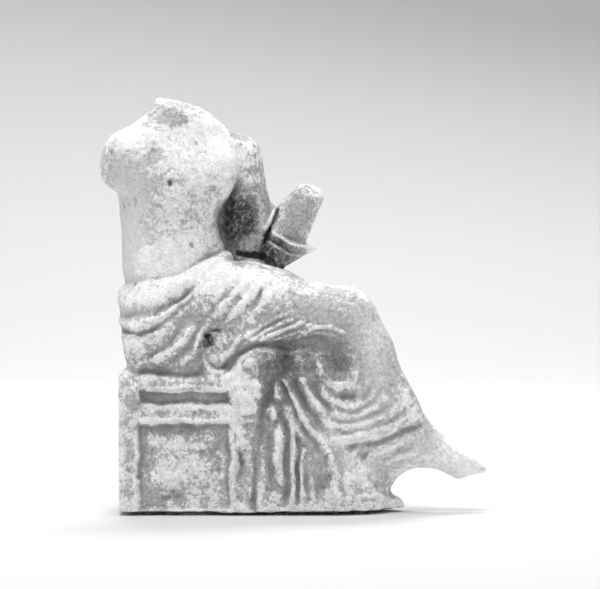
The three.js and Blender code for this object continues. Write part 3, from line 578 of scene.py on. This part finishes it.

# Streaks of it along the ridges, and painted shade where it is taken away in the groove beside the seat
# post and in the band under the thigh: (x0, y0, x1, y1, half width, amount)
STREAKS = [
    (319, 356, 323, 374, 3, 0.7), (325, 382, 338, 389, 3, 0.8), (338, 389, 354, 386, 3, 0.8),
    (354, 386, 358, 376, 2.5, 0.5), (230, 422, 238, 424, 2, 0.6), (238, 424, 240, 434, 2.5, 1.0),
    (279, 430, 280, 460, 3.5, 0.9), (274, 382, 277, 396, 3, 0.9), (274, 411, 274, 419, 3, 1.0),
    (292, 428, 293, 512, 1.8, 0.7), (301, 445, 302, 510, 1.8, 0.6), (284, 380, 303, 418, 2, 0.7),
    # (266, 378) to (258, 430) here and on to (254, 514) on the next line: painted shade in the groove
    # beside the seat post
    (303, 418, 322, 440, 2.5, 0.7), (302, 378, 322, 410, 2, 0.7), (266, 378, 258, 430, 3.5, -1.0),
    (258, 430, 254, 514, 3.5, -0.7), (148, 391, 225, 391, 1.5, 0.6), (144, 421, 228, 421, 2.5, 0.5),
    (214, 318, 246, 272, 3, 0.4), (228, 322, 262, 276, 3, 0.45), (196, 345, 210, 318, 2, 0.4),
    (158, 357, 184, 340, 3.5, 0.7), (262, 340, 300, 322, 2, 0.7), (300, 322, 345, 332, 1.6, 0.6),
    # this line: painted shade in the band under the thigh
    (228, 366, 240, 350, 4.5, -0.8), (240, 350, 290, 342, 4, -0.8), (290, 342, 330, 346, 5, -0.6),
    (122, 300, 160, 296, 4, 0.4), (160, 296, 205, 272, 4, 0.4), (126, 345, 160, 338, 4, 0.3),
    (228, 380, 258, 384, 6, 0.5), (345, 442, 400, 436, 3, 0.5), (322, 448, 330, 500, 4, 0.4),
    (380, 462, 400, 456, 2, 0.6), (150, 440, 200, 446, 6, 0.3), (150, 474, 190, 466, 8, 0.35),
]

# Where a thin wash of slip lightens the bare clay, where dirt rubbed in greys it, and where it is greyed as
# painted shade under the thigh, under the hem and along the top of the side panel, in the same terms
WASH_AND_SHADE = [
    (126, 225, 22, 80, 0.44), (130, 272, 26, 24, 0.2), (112, 150, 16, 20, 0.06),
    (118, 172, 10, 22, 0.0), (186, 205, 46, 70, 0.09), (352, 315, 44, 60, 0.08),
    # (292, 372) here and (340, 364) on the next line: painted shade under the thigh
    (378, 352, 18, 70, 0.26), (318, 285, 60, 14, 0.16), (292, 372, 30, 30, -0.20),
    (340, 364, 18, 22, -0.20), (276, 420, 10, 60, -0.14), (440, 455, 50, 24, 0.32),
    # (185, 430): painted shade along the top of the side panel
    (112, 440, 14, 70, 0.12), (185, 430, 44, 8, -0.08), (214, 340, 22, 18, -0.08),
    (150, 322, 40, 10, 0.04), (304, 212, 20, 30, 0.0), (356, 446, 44, 44, 0.2),
    # (160, 360): painted shade under the hem
    (170, 114, 14, 12, 0.06), (160, 360, 40, 8, -0.06), (330, 470, 30, 30, -0.04),
]


def on_side(p, x, y, rx, ry):
    """1 in the middle of an oval of the side drawing, falling away to its rim."""
    across, up = drawn(x, y)
    u, v = (p[:, 0] - across) / (rx * UNIT), (p[:, 2] - up) / (ry * UNIT)
    return np.exp(-(u * u + v * v))


def near_line(p, start, end, wide):
    """1 on a straight line of the side drawing, falling away within 'wide' units of it."""
    a, b = np.array(drawn(*start)), np.array(drawn(*end))
    q = p[:, [0, 2]] - a
    t = np.clip(q @ (b - a) / ((b - a) @ (b - a)), 0, 1)
    away = np.hypot(*(q - t[:, None] * (b - a)).T)
    return np.exp(-((away / (wide * UNIT)) ** 2))


def cuff_edge_highlight(p):
    """1 on the rim and on the ledge of the square cuff: a painted highlight along their edges, laid on as
    slip.
    """
    w = (p - CUFF_MID) @ FOREARM_AXIS
    away = np.sqrt(((p - CUFF_MID - FOREARM_AXIS * w[:, None]) ** 2).sum(-1))
    rim, ledge = np.exp(-((w - 1.0) / 0.6) ** 2), np.exp(-((w + 3.2) / 0.45) ** 2)
    return smooth(13.5 - away, 0, 1) * np.clip(rim + 0.8 * ledge, 0, 1)


def slip_and_painted_light(p):
    """How much slip is left, with a painted highlight on the cuff's edges and painted shade from some
    entries: bare clay well below 0, covered well above it.
    """
    near = smooth(-p[:, 1], -12, 2)
    kept = np.full(len(p), 0.0, np.float32)
    for x, y, rx, ry, amount in SLIP_AND_SHADE:
        kept += amount * on_side(p, x, y, rx, ry) * near
    for x0, y0, x1, y1, wide, amount in STREAKS:
        kept += amount * near_line(p, (x0, y0), (x1, y1), wide) * near
    # painted highlight on the cuff's rim and ledge
    kept += 0.9 * cuff_edge_highlight(p) + 0.7 * near_line(p, (272, 214), (266, 230), 1.6) * smooth(p[:, 1], -8, 2)
    patches = 0.24 * mottle(p, 6.0, 3, 2) + 0.26 * mottle(p, 2.4, 5, 3, 0.7)
    patches += 0.55 * on_side(p, 188, 212, 36, 52) * near * mottle(p, 3.6, 31, 4, 0.75)
    # the back and the plain side have kept less of it, in larger patches
    kept += (1 - near) * (0.45 * mottle(p, 15.0, 21, 2) - 0.30)
    return kept - 0.12 + patches


def wash_and_shade_left(p):
    """How far a thin coat of slip lightens the bare clay, rubbed-in dirt greys it, and painted shade greys
    it.
    """
    near = smooth(-p[:, 1], -12, 2)
    return sum(amount * on_side(p, x, y, rx, ry) * near for x, y, rx, ry, amount in WASH_AND_SHADE)


def soil_and_shade_on(p):
    """How dark each place is made, from 0 to 1: soot and dirt where they have gathered, and painted shade
    in gaps, grooves and recesses and along the foot.
    """
    behind = smooth(p[:, 1], -8, 2)
    near = smooth(-p[:, 1], 0, 10)
    # soot on the arm; the third oval, on the next line, is painted shade in the recess between the torso
    # and the arm
    arm = on_side(p, 247, 213, 16, 27) * 1.05 + on_side(p, 240, 232, 13, 10) * 0.5
    arm = arm + on_side(p, 228, 217, 8, 29) * 1.1 * smooth(p[:, 1], -14, -6)
    # painted shade on the cuff's near facet
    cuff_facet_shade = on_side(p, 279, 251, 16, 15) * 1.7
    # painted shade along the seam groove between the forearm and the arm
    seam_painted_shade = near_line(p, (278, 209), (269, 233), 1.7) * 1.1
    seam_painted_shade = seam_painted_shade + near_line(p, (269, 233), (262, 256), 2.4) * 1.5
    # painted shadow in the gap below the elbow and the cuff
    gap = near_line(p, (238, 254), (262, 257), 3.2) * 1.3
    gap = gap + near_line(p, (262, 258), (284, 269), 3.0) * 1.1
    # painted shade under the thigh
    under = on_side(p, 288, 362, 26, 15) * 0.6 + on_side(p, 334, 360, 18, 16) * 0.18
    # dirt and painted shade in the hollow of the throat
    throat_dirt_and_shade = on_side(p, 176, 117, 16, 9) * 0.36
    pit = on_side(p, 209, 341, 6, 8) * 1.6 + on_side(p, 216, 330, 12, 2.2) * 0.7
    # painted shade in the groove beside the seat post
    post_groove_shade = near_line(p, (266, 378), (258, 430), 2.4) * 0.22
    post_groove_shade = post_groove_shade + near_line(p, (258, 430), (254, 512), 2.4) * 0.1
    nick = post_groove_shade + on_side(p, 171, 182, 2, 4) * 0.9 + on_side(p, 137, 336, 14, 3) * 0.5
    nick = nick + on_side(p, 243, 464, 7, 12) * 0.34 + on_side(p, 214, 458, 6, 10) * 0.22
    # soot on the arm and painted shade on the cuff's facet, kept off the painted highlight on its edges
    soot_and_shade_held = np.clip(arm + cuff_facet_shade, 0, 1) * (1 - 0.85 * cuff_edge_highlight(p))
    # painted contact shadow along the foot of the piece
    painted_contact_shadow = 0.95 * smooth(1.45 - p[:, 2], 0, 0.5)
    total = (soot_and_shade_held + gap + seam_painted_shade) * behind + (under + throat_dirt_and_shade + pit + nick) * near + painted_contact_shadow
    return np.clip(total, 0, 1)


def pressed_mean(values, radius):
    """Mean of the field over a cube of the given half width, in grid steps."""
    out = values
    for axis in range(3):
        pad = [(0, 0)] * 3
        pad[axis] = (radius + 1, radius)
        run = np.cumsum(np.pad(out, pad, mode="edge"), axis=axis, dtype=np.float64)
        a = [slice(None)] * 3
        b = [slice(None)] * 3
        a[axis], b[axis] = slice(2 * radius + 1, None), slice(0, -2 * radius - 1)
        out = ((run[tuple(a)] - run[tuple(b)]) / (2 * radius + 1)).astype(np.float32)
    return out


def read(grid, p):
    """A grid's value at any points, in between its own."""
    q = np.clip((p - FIGURE_LOW) / GRID, 0, np.array(grid.shape) - 1.001)
    i = q.astype(int)
    f = (q - i).astype(np.float32)
    total = np.zeros(len(p), np.float32)
    for corner in range(8):
        c = np.array([corner & 1, corner >> 1 & 1, corner >> 2 & 1])
        total += np.prod(np.where(c == 1, f, 1 - f), axis=1) * grid[tuple((i + c).T)]
    return total


# Everything is cut off flat at the ground, then closed into one skin; means over small and larger cubes
# tell hollows from ridges
NARROW = 1.3
WIDE = 4.0
values = sampled(figure)
heights_of_rows = (FIGURE_LOW[2] + GRID * np.arange(values.shape[2])).astype(np.float32)
values = np.maximum(values, -heights_of_rows[None, None, :])
verts, squares = net(values)
narrow_hollow = pressed_mean(values, max(1, round(NARROW / GRID)))
wide_hollow = pressed_mean(values, max(2, round(WIDE / GRID)))

# The surface as it has worn, in millimetres: slip stands a little proud of the clay, the clay is uneven and
# pitted, soil is crusted on the arm, and the breaks at neck and shoulder are rough
SLIP_THICK = 0.12
UNEVEN = 0.16
FINE_UNEVEN = 0.07
PIT_DEPTH = 0.36
BREAK_ROUGH = 0.5
GROUND_FLAT = 0.35
rough_mesh = mesh_of("figurine_rough", verts, squares)
out = directions(rough_mesh)
slip = slip_and_painted_light(verts)
soil_and_shade = soil_and_shade_on(verts)
lift = SLIP_THICK * smooth(slip, -0.2, 0.3)
lift = lift + UNEVEN * mottle(verts, 5.0, 7, 3) + FINE_UNEVEN * mottle(verts, 1.6, 8, 2)
pits = smooth(mottle(verts, 2.4, 11, 2), 0.62, 0.95) * (1 - 0.75 * smooth(slip, -0.2, 0.25))
lift -= PIT_DEPTH * pits
crusted = soil_and_shade * (1 - 0.8 * on_side(verts, 290, 250, 26, 18) * smooth(verts[:, 1], -8, 2))
lift += crusted * (0.45 * mottle(verts, 2.2, 12, 3, 0.7) + 0.30 * mottle(verts, 1.3, 14, 1) + 0.15)
shoulder_break = on_side(verts, 112, 164, 13, 26) * smooth(-verts[:, 0], 60, 66)
broken = np.maximum(shoulder_break, smooth(verts[:, 2], 164.5, 166.5))
lift += broken * BREAK_ROUGH * mottle(verts, 3.0, 13, 4, 0.7)
lift *= smooth(verts[:, 2], 0.4, 2.0)
verts = verts + out * lift[:, None]
verts[:, 2] = np.where(verts[:, 2] < GROUND_FLAT, 0.0, verts[:, 2])

# The skin set into its place in the frame, a hair inside the solid, and thinned
HAIR = 3e-5
low, high = (np.array(c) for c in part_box("figurine"))
low, high = low + vec(HAIR, HAIR, 0), high - HAIR
stretch = (high - low) * 1000 / (verts.max(0) - verts.min(0))
corner = verts.min(0)
set_in = low + (verts - corner) * stretch / 1000
rough_mesh.vertices.foreach_set("co", set_in.astype(np.float32).ravel())
rough_mesh.update()

figurine = bpy.data.objects.new("figurine_clay", rough_mesh)
bpy.context.scene.collection.objects.link(figurine)
thinned = figurine.modifiers.new("thinned", "DECIMATE")
thinned.ratio = min(1.0, MOST_TRIANGLES / (2 * len(squares)))
bpy.context.view_layer.update()
depsgraph = bpy.context.evaluated_depsgraph_get()
figurine_mesh = bpy.data.meshes.new_from_object(figurine.evaluated_get(depsgraph))
level = coordinates(figurine_mesh)
level[:, 2] = np.maximum(level[:, 2], low[2])
figurine_mesh.vertices.foreach_set("co", level.astype(np.float32).ravel())
figurine_mesh.update()
figurine.modifiers.clear()
figurine.data = figurine_mesh
figurine_mesh.name = "figurine_clay"
bpy.data.meshes.remove(rough_mesh)
figurine_mesh.polygons.foreach_set("use_smooth", [True] * len(figurine_mesh.polygons))


def paint(mesh, name, amounts):
    layer = mesh.attributes.new(name, "FLOAT", "POINT")
    layer.data.foreach_set("value", np.asarray(amounts, np.float32))


place = (coordinates(figurine_mesh) - low) * 1000 / stretch + corner
place = place.astype(np.float32)
facing = directions(figurine_mesh)
hollow = -read(narrow_hollow, place) / NARROW * 2.2 - read(wide_hollow, place) / WIDE * 1.4
crest = 1.25 * np.clip(-hollow, 0, 0.5) - 0.9 * np.clip(hollow, 0, 0.5)
# the slip amount is raised a little on faces turned up: painted light on the tops
paint(figurine_mesh, "slip", slip_and_painted_light(place) + crest - 0.05 + 0.08 * facing[:, 2])
paint(figurine_mesh, "wash_and_shade", wash_and_shade_left(place))
on_ribs = on_side(place, 190, 206, 40, 50) * smooth(-place[:, 1], -4, 6)
paint(figurine_mesh, "chipped", 0.2 + 0.8 * on_ribs)
paint(figurine_mesh, "hollow", hollow)
paint(figurine_mesh, "soil_and_shade", soil_and_shade_on(place))


# The clay's look: mid-grey fired clay, near-white slip in worn patches with some painted light in it,
# hollows darkened with dirt and painted shade, soot, dirt and painted shade from the soil-and-shade map,
# fine grain over all
def grain_group():
    g = bpy.data.node_groups.new("clay_grain", "ShaderNodeTree")
    g.interface.new_socket("Place", in_out="INPUT", socket_type="NodeSocketVector")
    for name, value in (("Size", 1.0), ("Contrast", 1.0)):
        g.interface.new_socket(name, in_out="INPUT", socket_type="NodeSocketFloat").default_value = value
    g.interface.new_socket("Grain", in_out="OUTPUT", socket_type="NodeSocketFloat")
    g.interface.new_socket("Specks", in_out="OUTPUT", socket_type="NodeSocketFloat")
    inp, outp = g.nodes.new("NodeGroupInput"), g.nodes.new("NodeGroupOutput")
    scale = g.nodes.new("ShaderNodeVectorMath")
    scale.operation = "DIVIDE"
    g.links.new(inp.outputs["Place"], scale.inputs[0])
    g.links.new(inp.outputs["Size"], scale.inputs[1])
    noise = g.nodes.new("ShaderNodeTexNoise")
    noise.inputs["Scale"].default_value = 1.0
    noise.inputs["Detail"].default_value = 8.0
    noise.inputs["Roughness"].default_value = 0.68
    g.links.new(scale.outputs[0], noise.inputs["Vector"])
    centred = g.nodes.new("ShaderNodeMath")
    centred.operation = "SUBTRACT"
    centred.inputs[1].default_value = 0.5
    g.links.new(noise.outputs["Fac"], centred.inputs[0])
    strong = g.nodes.new("ShaderNodeMath")
    strong.operation = "MULTIPLY"
    g.links.new(centred.outputs[0], strong.inputs[0])
    g.links.new(inp.outputs["Contrast"], strong.inputs[1])
    g.links.new(strong.outputs[0], outp.inputs["Grain"])
    specks = g.nodes.new("ShaderNodeTexNoise")
    specks.inputs["Scale"].default_value = 3.1
    specks.inputs["Detail"].default_value = 3.0
    specks.inputs["Roughness"].default_value = 0.6
    g.links.new(scale.outputs[0], specks.inputs["Vector"])
    picked = g.nodes.new("ShaderNodeMapRange")
    picked.interpolation_type = "SMOOTHSTEP"
    picked.inputs["From Min"].default_value = 0.62
    picked.inputs["From Max"].default_value = 0.72
    g.links.new(specks.outputs["Fac"], picked.inputs["Value"])
    g.links.new(picked.outputs["Result"], outp.inputs["Specks"])
    return g


CLAY_GRAIN = grain_group()


class Look:
    """Short hands for wiring one material's nodes."""

    def __init__(self, name):
        self.material = bpy.data.materials.new(name)
        self.material.use_nodes = True
        self.nodes = self.material.node_tree.nodes
        self.links = self.material.node_tree.links
        self.shader = self.nodes["Principled BSDF"]
        texture = self.nodes.new("ShaderNodeTexCoord")
        in_mm = self.nodes.new("ShaderNodeVectorMath")
        in_mm.operation = "SCALE"
        in_mm.inputs["Scale"].default_value = 1000.0
        self.links.new(texture.outputs["Object"], in_mm.inputs[0])
        self.place = in_mm.outputs[0]

    def put(self, socket, value):
        if hasattr(value, "is_linked"):
            self.links.new(value, socket)
        else:
            socket.default_value = value

    def maths(self, kind, a, b=0.0, clamp=False):
        n = self.nodes.new("ShaderNodeMath")
        n.operation = kind
        n.use_clamp = clamp
        self.put(n.inputs[0], a)
        self.put(n.inputs[1], b)
        return n.outputs[0]

    def step(self, value, low, high, to_low=0.0, to_high=1.0):
        n = self.nodes.new("ShaderNodeMapRange")
        n.interpolation_type = "SMOOTHSTEP"
        self.put(n.inputs["Value"], value)
        n.inputs["From Min"].default_value = low
        n.inputs["From Max"].default_value = high
        n.inputs["To Min"].default_value = to_low
        n.inputs["To Max"].default_value = to_high
        return n.outputs["Result"]

    def noise(self, size, detail=6.0, rough=0.6, warp=0.0):
        n = self.nodes.new("ShaderNodeTexNoise")
        n.inputs["Scale"].default_value = 1.0 / size
        n.inputs["Detail"].default_value = detail
        n.inputs["Roughness"].default_value = rough
        n.inputs["Distortion"].default_value = warp
        self.links.new(self.place, n.inputs["Vector"])
        return n.outputs["Fac"]

    def grain(self, size, contrast=1.0):
        n = self.nodes.new("ShaderNodeGroup")
        n.node_tree = CLAY_GRAIN
        self.links.new(self.place, n.inputs["Place"])
        n.inputs["Size"].default_value = size
        n.inputs["Contrast"].default_value = contrast
        return n.outputs["Grain"], n.outputs["Specks"]

    def painted(self, name):
        n = self.nodes.new("ShaderNodeAttribute")
        n.attribute_name = name
        return n.outputs["Fac"]

    def mix(self, amount, a, b, kind="MIX"):
        n = self.nodes.new("ShaderNodeMix")
        n.data_type = "RGBA"
        n.blend_type = kind
        self.put(n.inputs[0], amount)
        self.put(n.inputs[6], a)
        self.put(n.inputs[7], b)
        return n.outputs[2]

    def grey(self, value, low, high, dark, light):
        n = self.nodes.new("ShaderNodeValToRGB")
        n.color_ramp.elements[0].position = low
        n.color_ramp.elements[0].color = dark
        n.color_ramp.elements[1].position = high
        n.color_ramp.elements[1].color = light
        self.put(n.inputs["Fac"], value)
        return n.outputs["Color"]


def tone(v, warm=0.004):
    return (v + warm, v, v - warm, 1.0)


clay = Look("fired_clay_worn_slip")
fine, specks = clay.grain(1.5, 1.0)
finer = clay.grain(0.6, 1.0)[0]
flakes = clay.maths("MULTIPLY_ADD", clay.noise(1.9, 9, 0.78, 0.5), 4.8)
flakes.node.inputs[2].default_value = -2.4
edge = clay.maths("ADD", clay.painted("slip"), flakes)
edge = clay.maths("ADD", edge, clay.maths("MULTIPLY", fine, 0.8))
edge = clay.maths("ADD", edge, clay.maths("MULTIPLY", finer, 0.8))
slip_here = clay.step(edge, -0.12, 0.26)
slip_dust = clay.step(edge, -0.9, 0.1)
body = clay.maths("ADD", clay.noise(1.5, 9, 0.78), clay.painted("wash_and_shade"))
body_colour = clay.grey(body, 0.28, 0.82, tone(0.20), tone(0.68))
dusty = clay.mix(clay.maths("MULTIPLY", slip_dust, 0.36), body_colour, tone(0.66))
slip_colour = clay.grey(clay.noise(2.6, 9, 0.74), 0.30, 0.58, tone(0.62), tone(0.92))
surface = clay.mix(slip_here, dusty, slip_colour)
chips = clay.step(clay.noise(1.3, 6, 0.74, 0.8), 0.50, 0.60)
chips = clay.maths("MULTIPLY", chips, clay.painted("chipped"))
surface = clay.mix(clay.maths("MULTIPLY", chips, 0.85), surface, body_colour)
bare = clay.step(slip_here, 0.0, 1.0, 0.62, 0.16)
surface = clay.mix(clay.maths("MULTIPLY", specks, bare), surface, tone(0.18))
surface = clay.mix(1.0, surface, clay.step(fine, -0.3, 0.3, 0.84, 1.14), "MULTIPLY")
surface = clay.mix(1.0, surface, clay.step(finer, -0.28, 0.28, 0.78, 1.17), "MULTIPLY")
# hollows darkened towards near-black: dirt held in them, and painted shade
hollow_dirt_and_shade = clay.maths("ADD", clay.painted("hollow"), clay.maths("MULTIPLY", fine, 1.6))
hollow_dirt_and_shade = clay.maths("ADD", hollow_dirt_and_shade, clay.maths("MULTIPLY", finer, 1.8))
surface = clay.mix(clay.step(hollow_dirt_and_shade, 0.0, 1.25, 0.0, 0.62), surface, tone(0.12))
# soot, dirt and painted shade from the soil-and-shade map, darkest on the grain of its crust
soil_grain = clay.maths("ADD", clay.noise(2.0, 8, 0.74), clay.maths("MULTIPLY", finer, 0.3))
soil_and_shade_dark = clay.step(soil_grain, 0.38, 0.68, 1.12, 0.5)
soil_and_shade_dark = clay.maths("MULTIPLY", clay.painted("soil_and_shade"), soil_and_shade_dark, clamp=True)
surface = clay.mix(soil_and_shade_dark, surface, tone(0.05))
clay.links.new(surface, clay.shader.inputs["Base Color"])
clay.shader.inputs["Specular IOR Level"].default_value = 0.25
clay.links.new(clay.step(fine, -0.3, 0.3, 0.82, 0.97), clay.shader.inputs["Roughness"])
height = clay.maths("ADD", clay.maths("MULTIPLY", fine, 0.22), clay.maths("MULTIPLY", finer, 0.10))
height = clay.maths("ADD", height, clay.maths("MULTIPLY", slip_here, 0.05))
height = clay.maths("SUBTRACT", height, clay.maths("MULTIPLY", specks, 0.10))
bump = clay.nodes.new("ShaderNodeBump")
bump.inputs["Strength"].default_value = 0.8
bump.inputs["Distance"].default_value = 0.001
clay.links.new(height, bump.inputs["Height"])
clay.links.new(bump.outputs["Normal"], clay.shader.inputs["Normal"])

figurine_mesh.materials.clear()
figurine_mesh.materials.append(clay.material)
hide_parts("figurine")
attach(figurine, "root")

# Floor and backdrop. A pale matt sheet of paper, flat under the piece and swept up behind it in one bend,
# bright in front; its colour is painted greyer towards the top and a little towards +X, as painted shade.
SWEEP_FRONT = -2.0
SWEEP_BEND = 0.9
BEND_RADIUS = 0.7
SWEEP_TOP = 3.2
SWEEP_HALF_WIDTH = 3.0
SWEEP_STEPS = 59
sweep_points = []
for k in range(SWEEP_STEPS + 1):
    u = k / SWEEP_STEPS
    if u < 0.5:
        sweep_points.append((SWEEP_FRONT + u * 2 * (SWEEP_BEND - SWEEP_FRONT), 0.0))
    else:
        turn = (u - 0.5) * math.pi
        sweep_points.append((SWEEP_BEND + BEND_RADIUS * math.sin(turn), BEND_RADIUS * (1 - math.cos(turn))))
sweep_points.append((SWEEP_BEND + BEND_RADIUS, SWEEP_TOP))
sweep_verts = [(x, y, z) for y, z in sweep_points for x in (-SWEEP_HALF_WIDTH, SWEEP_HALF_WIDTH)]
sweep_faces = [(2 * k, 2 * k + 1, 2 * k + 3, 2 * k + 2) for k in range(len(sweep_points) - 1)]
sweep_mesh = bpy.data.meshes.new("pale_sweep")
sweep_mesh.from_pydata(sweep_verts, [], sweep_faces)
sweep_mesh.polygons.foreach_set("use_smooth", [True] * len(sweep_mesh.polygons))
pale_sweep = bpy.data.objects.new("pale_sweep", sweep_mesh)
bpy.context.scene.collection.objects.link(pale_sweep)
paper = Look("pale_paper")
heights = paper.nodes.new("ShaderNodeSeparateXYZ")
paper.links.new(paper.place, heights.inputs[0])
across = paper.maths("MULTIPLY_ADD", heights.outputs["X"], 0.0006)
across.node.inputs[2].default_value = 1.0
# painted shade: the paper's colour darkens with height, and a little more towards +X
climb = paper.maths("MULTIPLY", paper.maths("MULTIPLY", heights.outputs["Z"], 1 / 300), across)
painted_falloff = paper.nodes.new("ShaderNodeValToRGB")
painted_falloff.color_ramp.elements[0].color = tone(0.66, 0.0)
painted_falloff.color_ramp.elements[1].color = tone(0.27, 0.0)
for stop, pale in ((0.017, 0.615), (0.05, 0.592), (0.09, 0.575), (0.15, 0.556), (0.27, 0.533),
                   (0.467, 0.474), (0.685, 0.400), (0.89, 0.310)):
    painted_falloff.color_ramp.elements.new(stop).color = tone(pale, 0.0)
paper.links.new(climb, painted_falloff.inputs["Fac"])
paper.links.new(painted_falloff.outputs["Color"], paper.shader.inputs["Base Color"])
paper.shader.inputs["Roughness"].default_value = 0.9
paper.shader.inputs["Specular IOR Level"].default_value = 0.1
sweep_mesh.materials.append(paper.material)


# Studio light: a large soft light above, a weak fill from the front, one on the backdrop, a faint one on
# each edge, and pale surroundings
def soft_light(name, place, aim, power, size):
    light = bpy.data.lights.new(name, "AREA")
    light.shape = "DISK"
    light.energy = power
    light.size = size
    thing = bpy.data.objects.new(name, light)
    bpy.context.scene.collection.objects.link(thing)
    thing.location = place
    thing.rotation_euler = (Vector(aim) - Vector(place)).to_track_quat("-Z", "Y").to_euler()


soft_light("overhead_light", (-0.10, -0.22, 0.85), (0, 0, 0.06), 6.1, 0.6)
soft_light("front_fill", (0.2, -1.4, 0.35), (0, 0, 0.08), 4.5, 0.8)
soft_light("backdrop_light", (0.0, 1.0, 1.6), (0, 1.3, 0.0), 32.0, 0.9)
soft_light("left_edge_light", (-0.60, 0.12, 0.20), (0, 0, 0.09), 0.9, 0.4)
soft_light("right_edge_light", (0.60, 0.12, 0.20), (0, 0, 0.09), 0.9, 0.4)
surroundings = bpy.data.worlds.new("pale_room")
bpy.context.scene.world = surroundings
surroundings.use_nodes = True
room = surroundings.node_tree.nodes["Background"]
room.inputs["Color"].default_value = (0.9, 0.9, 0.9, 1)
room.inputs["Strength"].default_value = 0.22

# Camera: square on to the finished side, from a little above, with the whole piece in the frame
CAMERA_DISTANCE = 1.5
CAMERA_LIFT = math.radians(1.5)
CAMERA_AIM = Vector((0.0025, 0.0, 0.0876))
WIDTH_IN_VIEW = 0.2424
SENSOR = 36.0
camera = bpy.data.cameras.new("photo_camera")
camera_object = bpy.data.objects.new("photo_camera", camera)
bpy.context.scene.collection.objects.link(camera_object)
back = Vector((0.0, -math.cos(CAMERA_LIFT), math.sin(CAMERA_LIFT)))
camera_object.location = CAMERA_AIM + back * CAMERA_DISTANCE
camera_object.rotation_euler = (-back).to_track_quat("-Z", "Y").to_euler()
camera.sensor_width = SENSOR
camera.lens = SENSOR * CAMERA_DISTANCE / WIDTH_IN_VIEW
camera.clip_end = 20.0
bpy.context.scene.camera = camera_object
bpy.context.scene.view_settings.view_transform = "Standard"
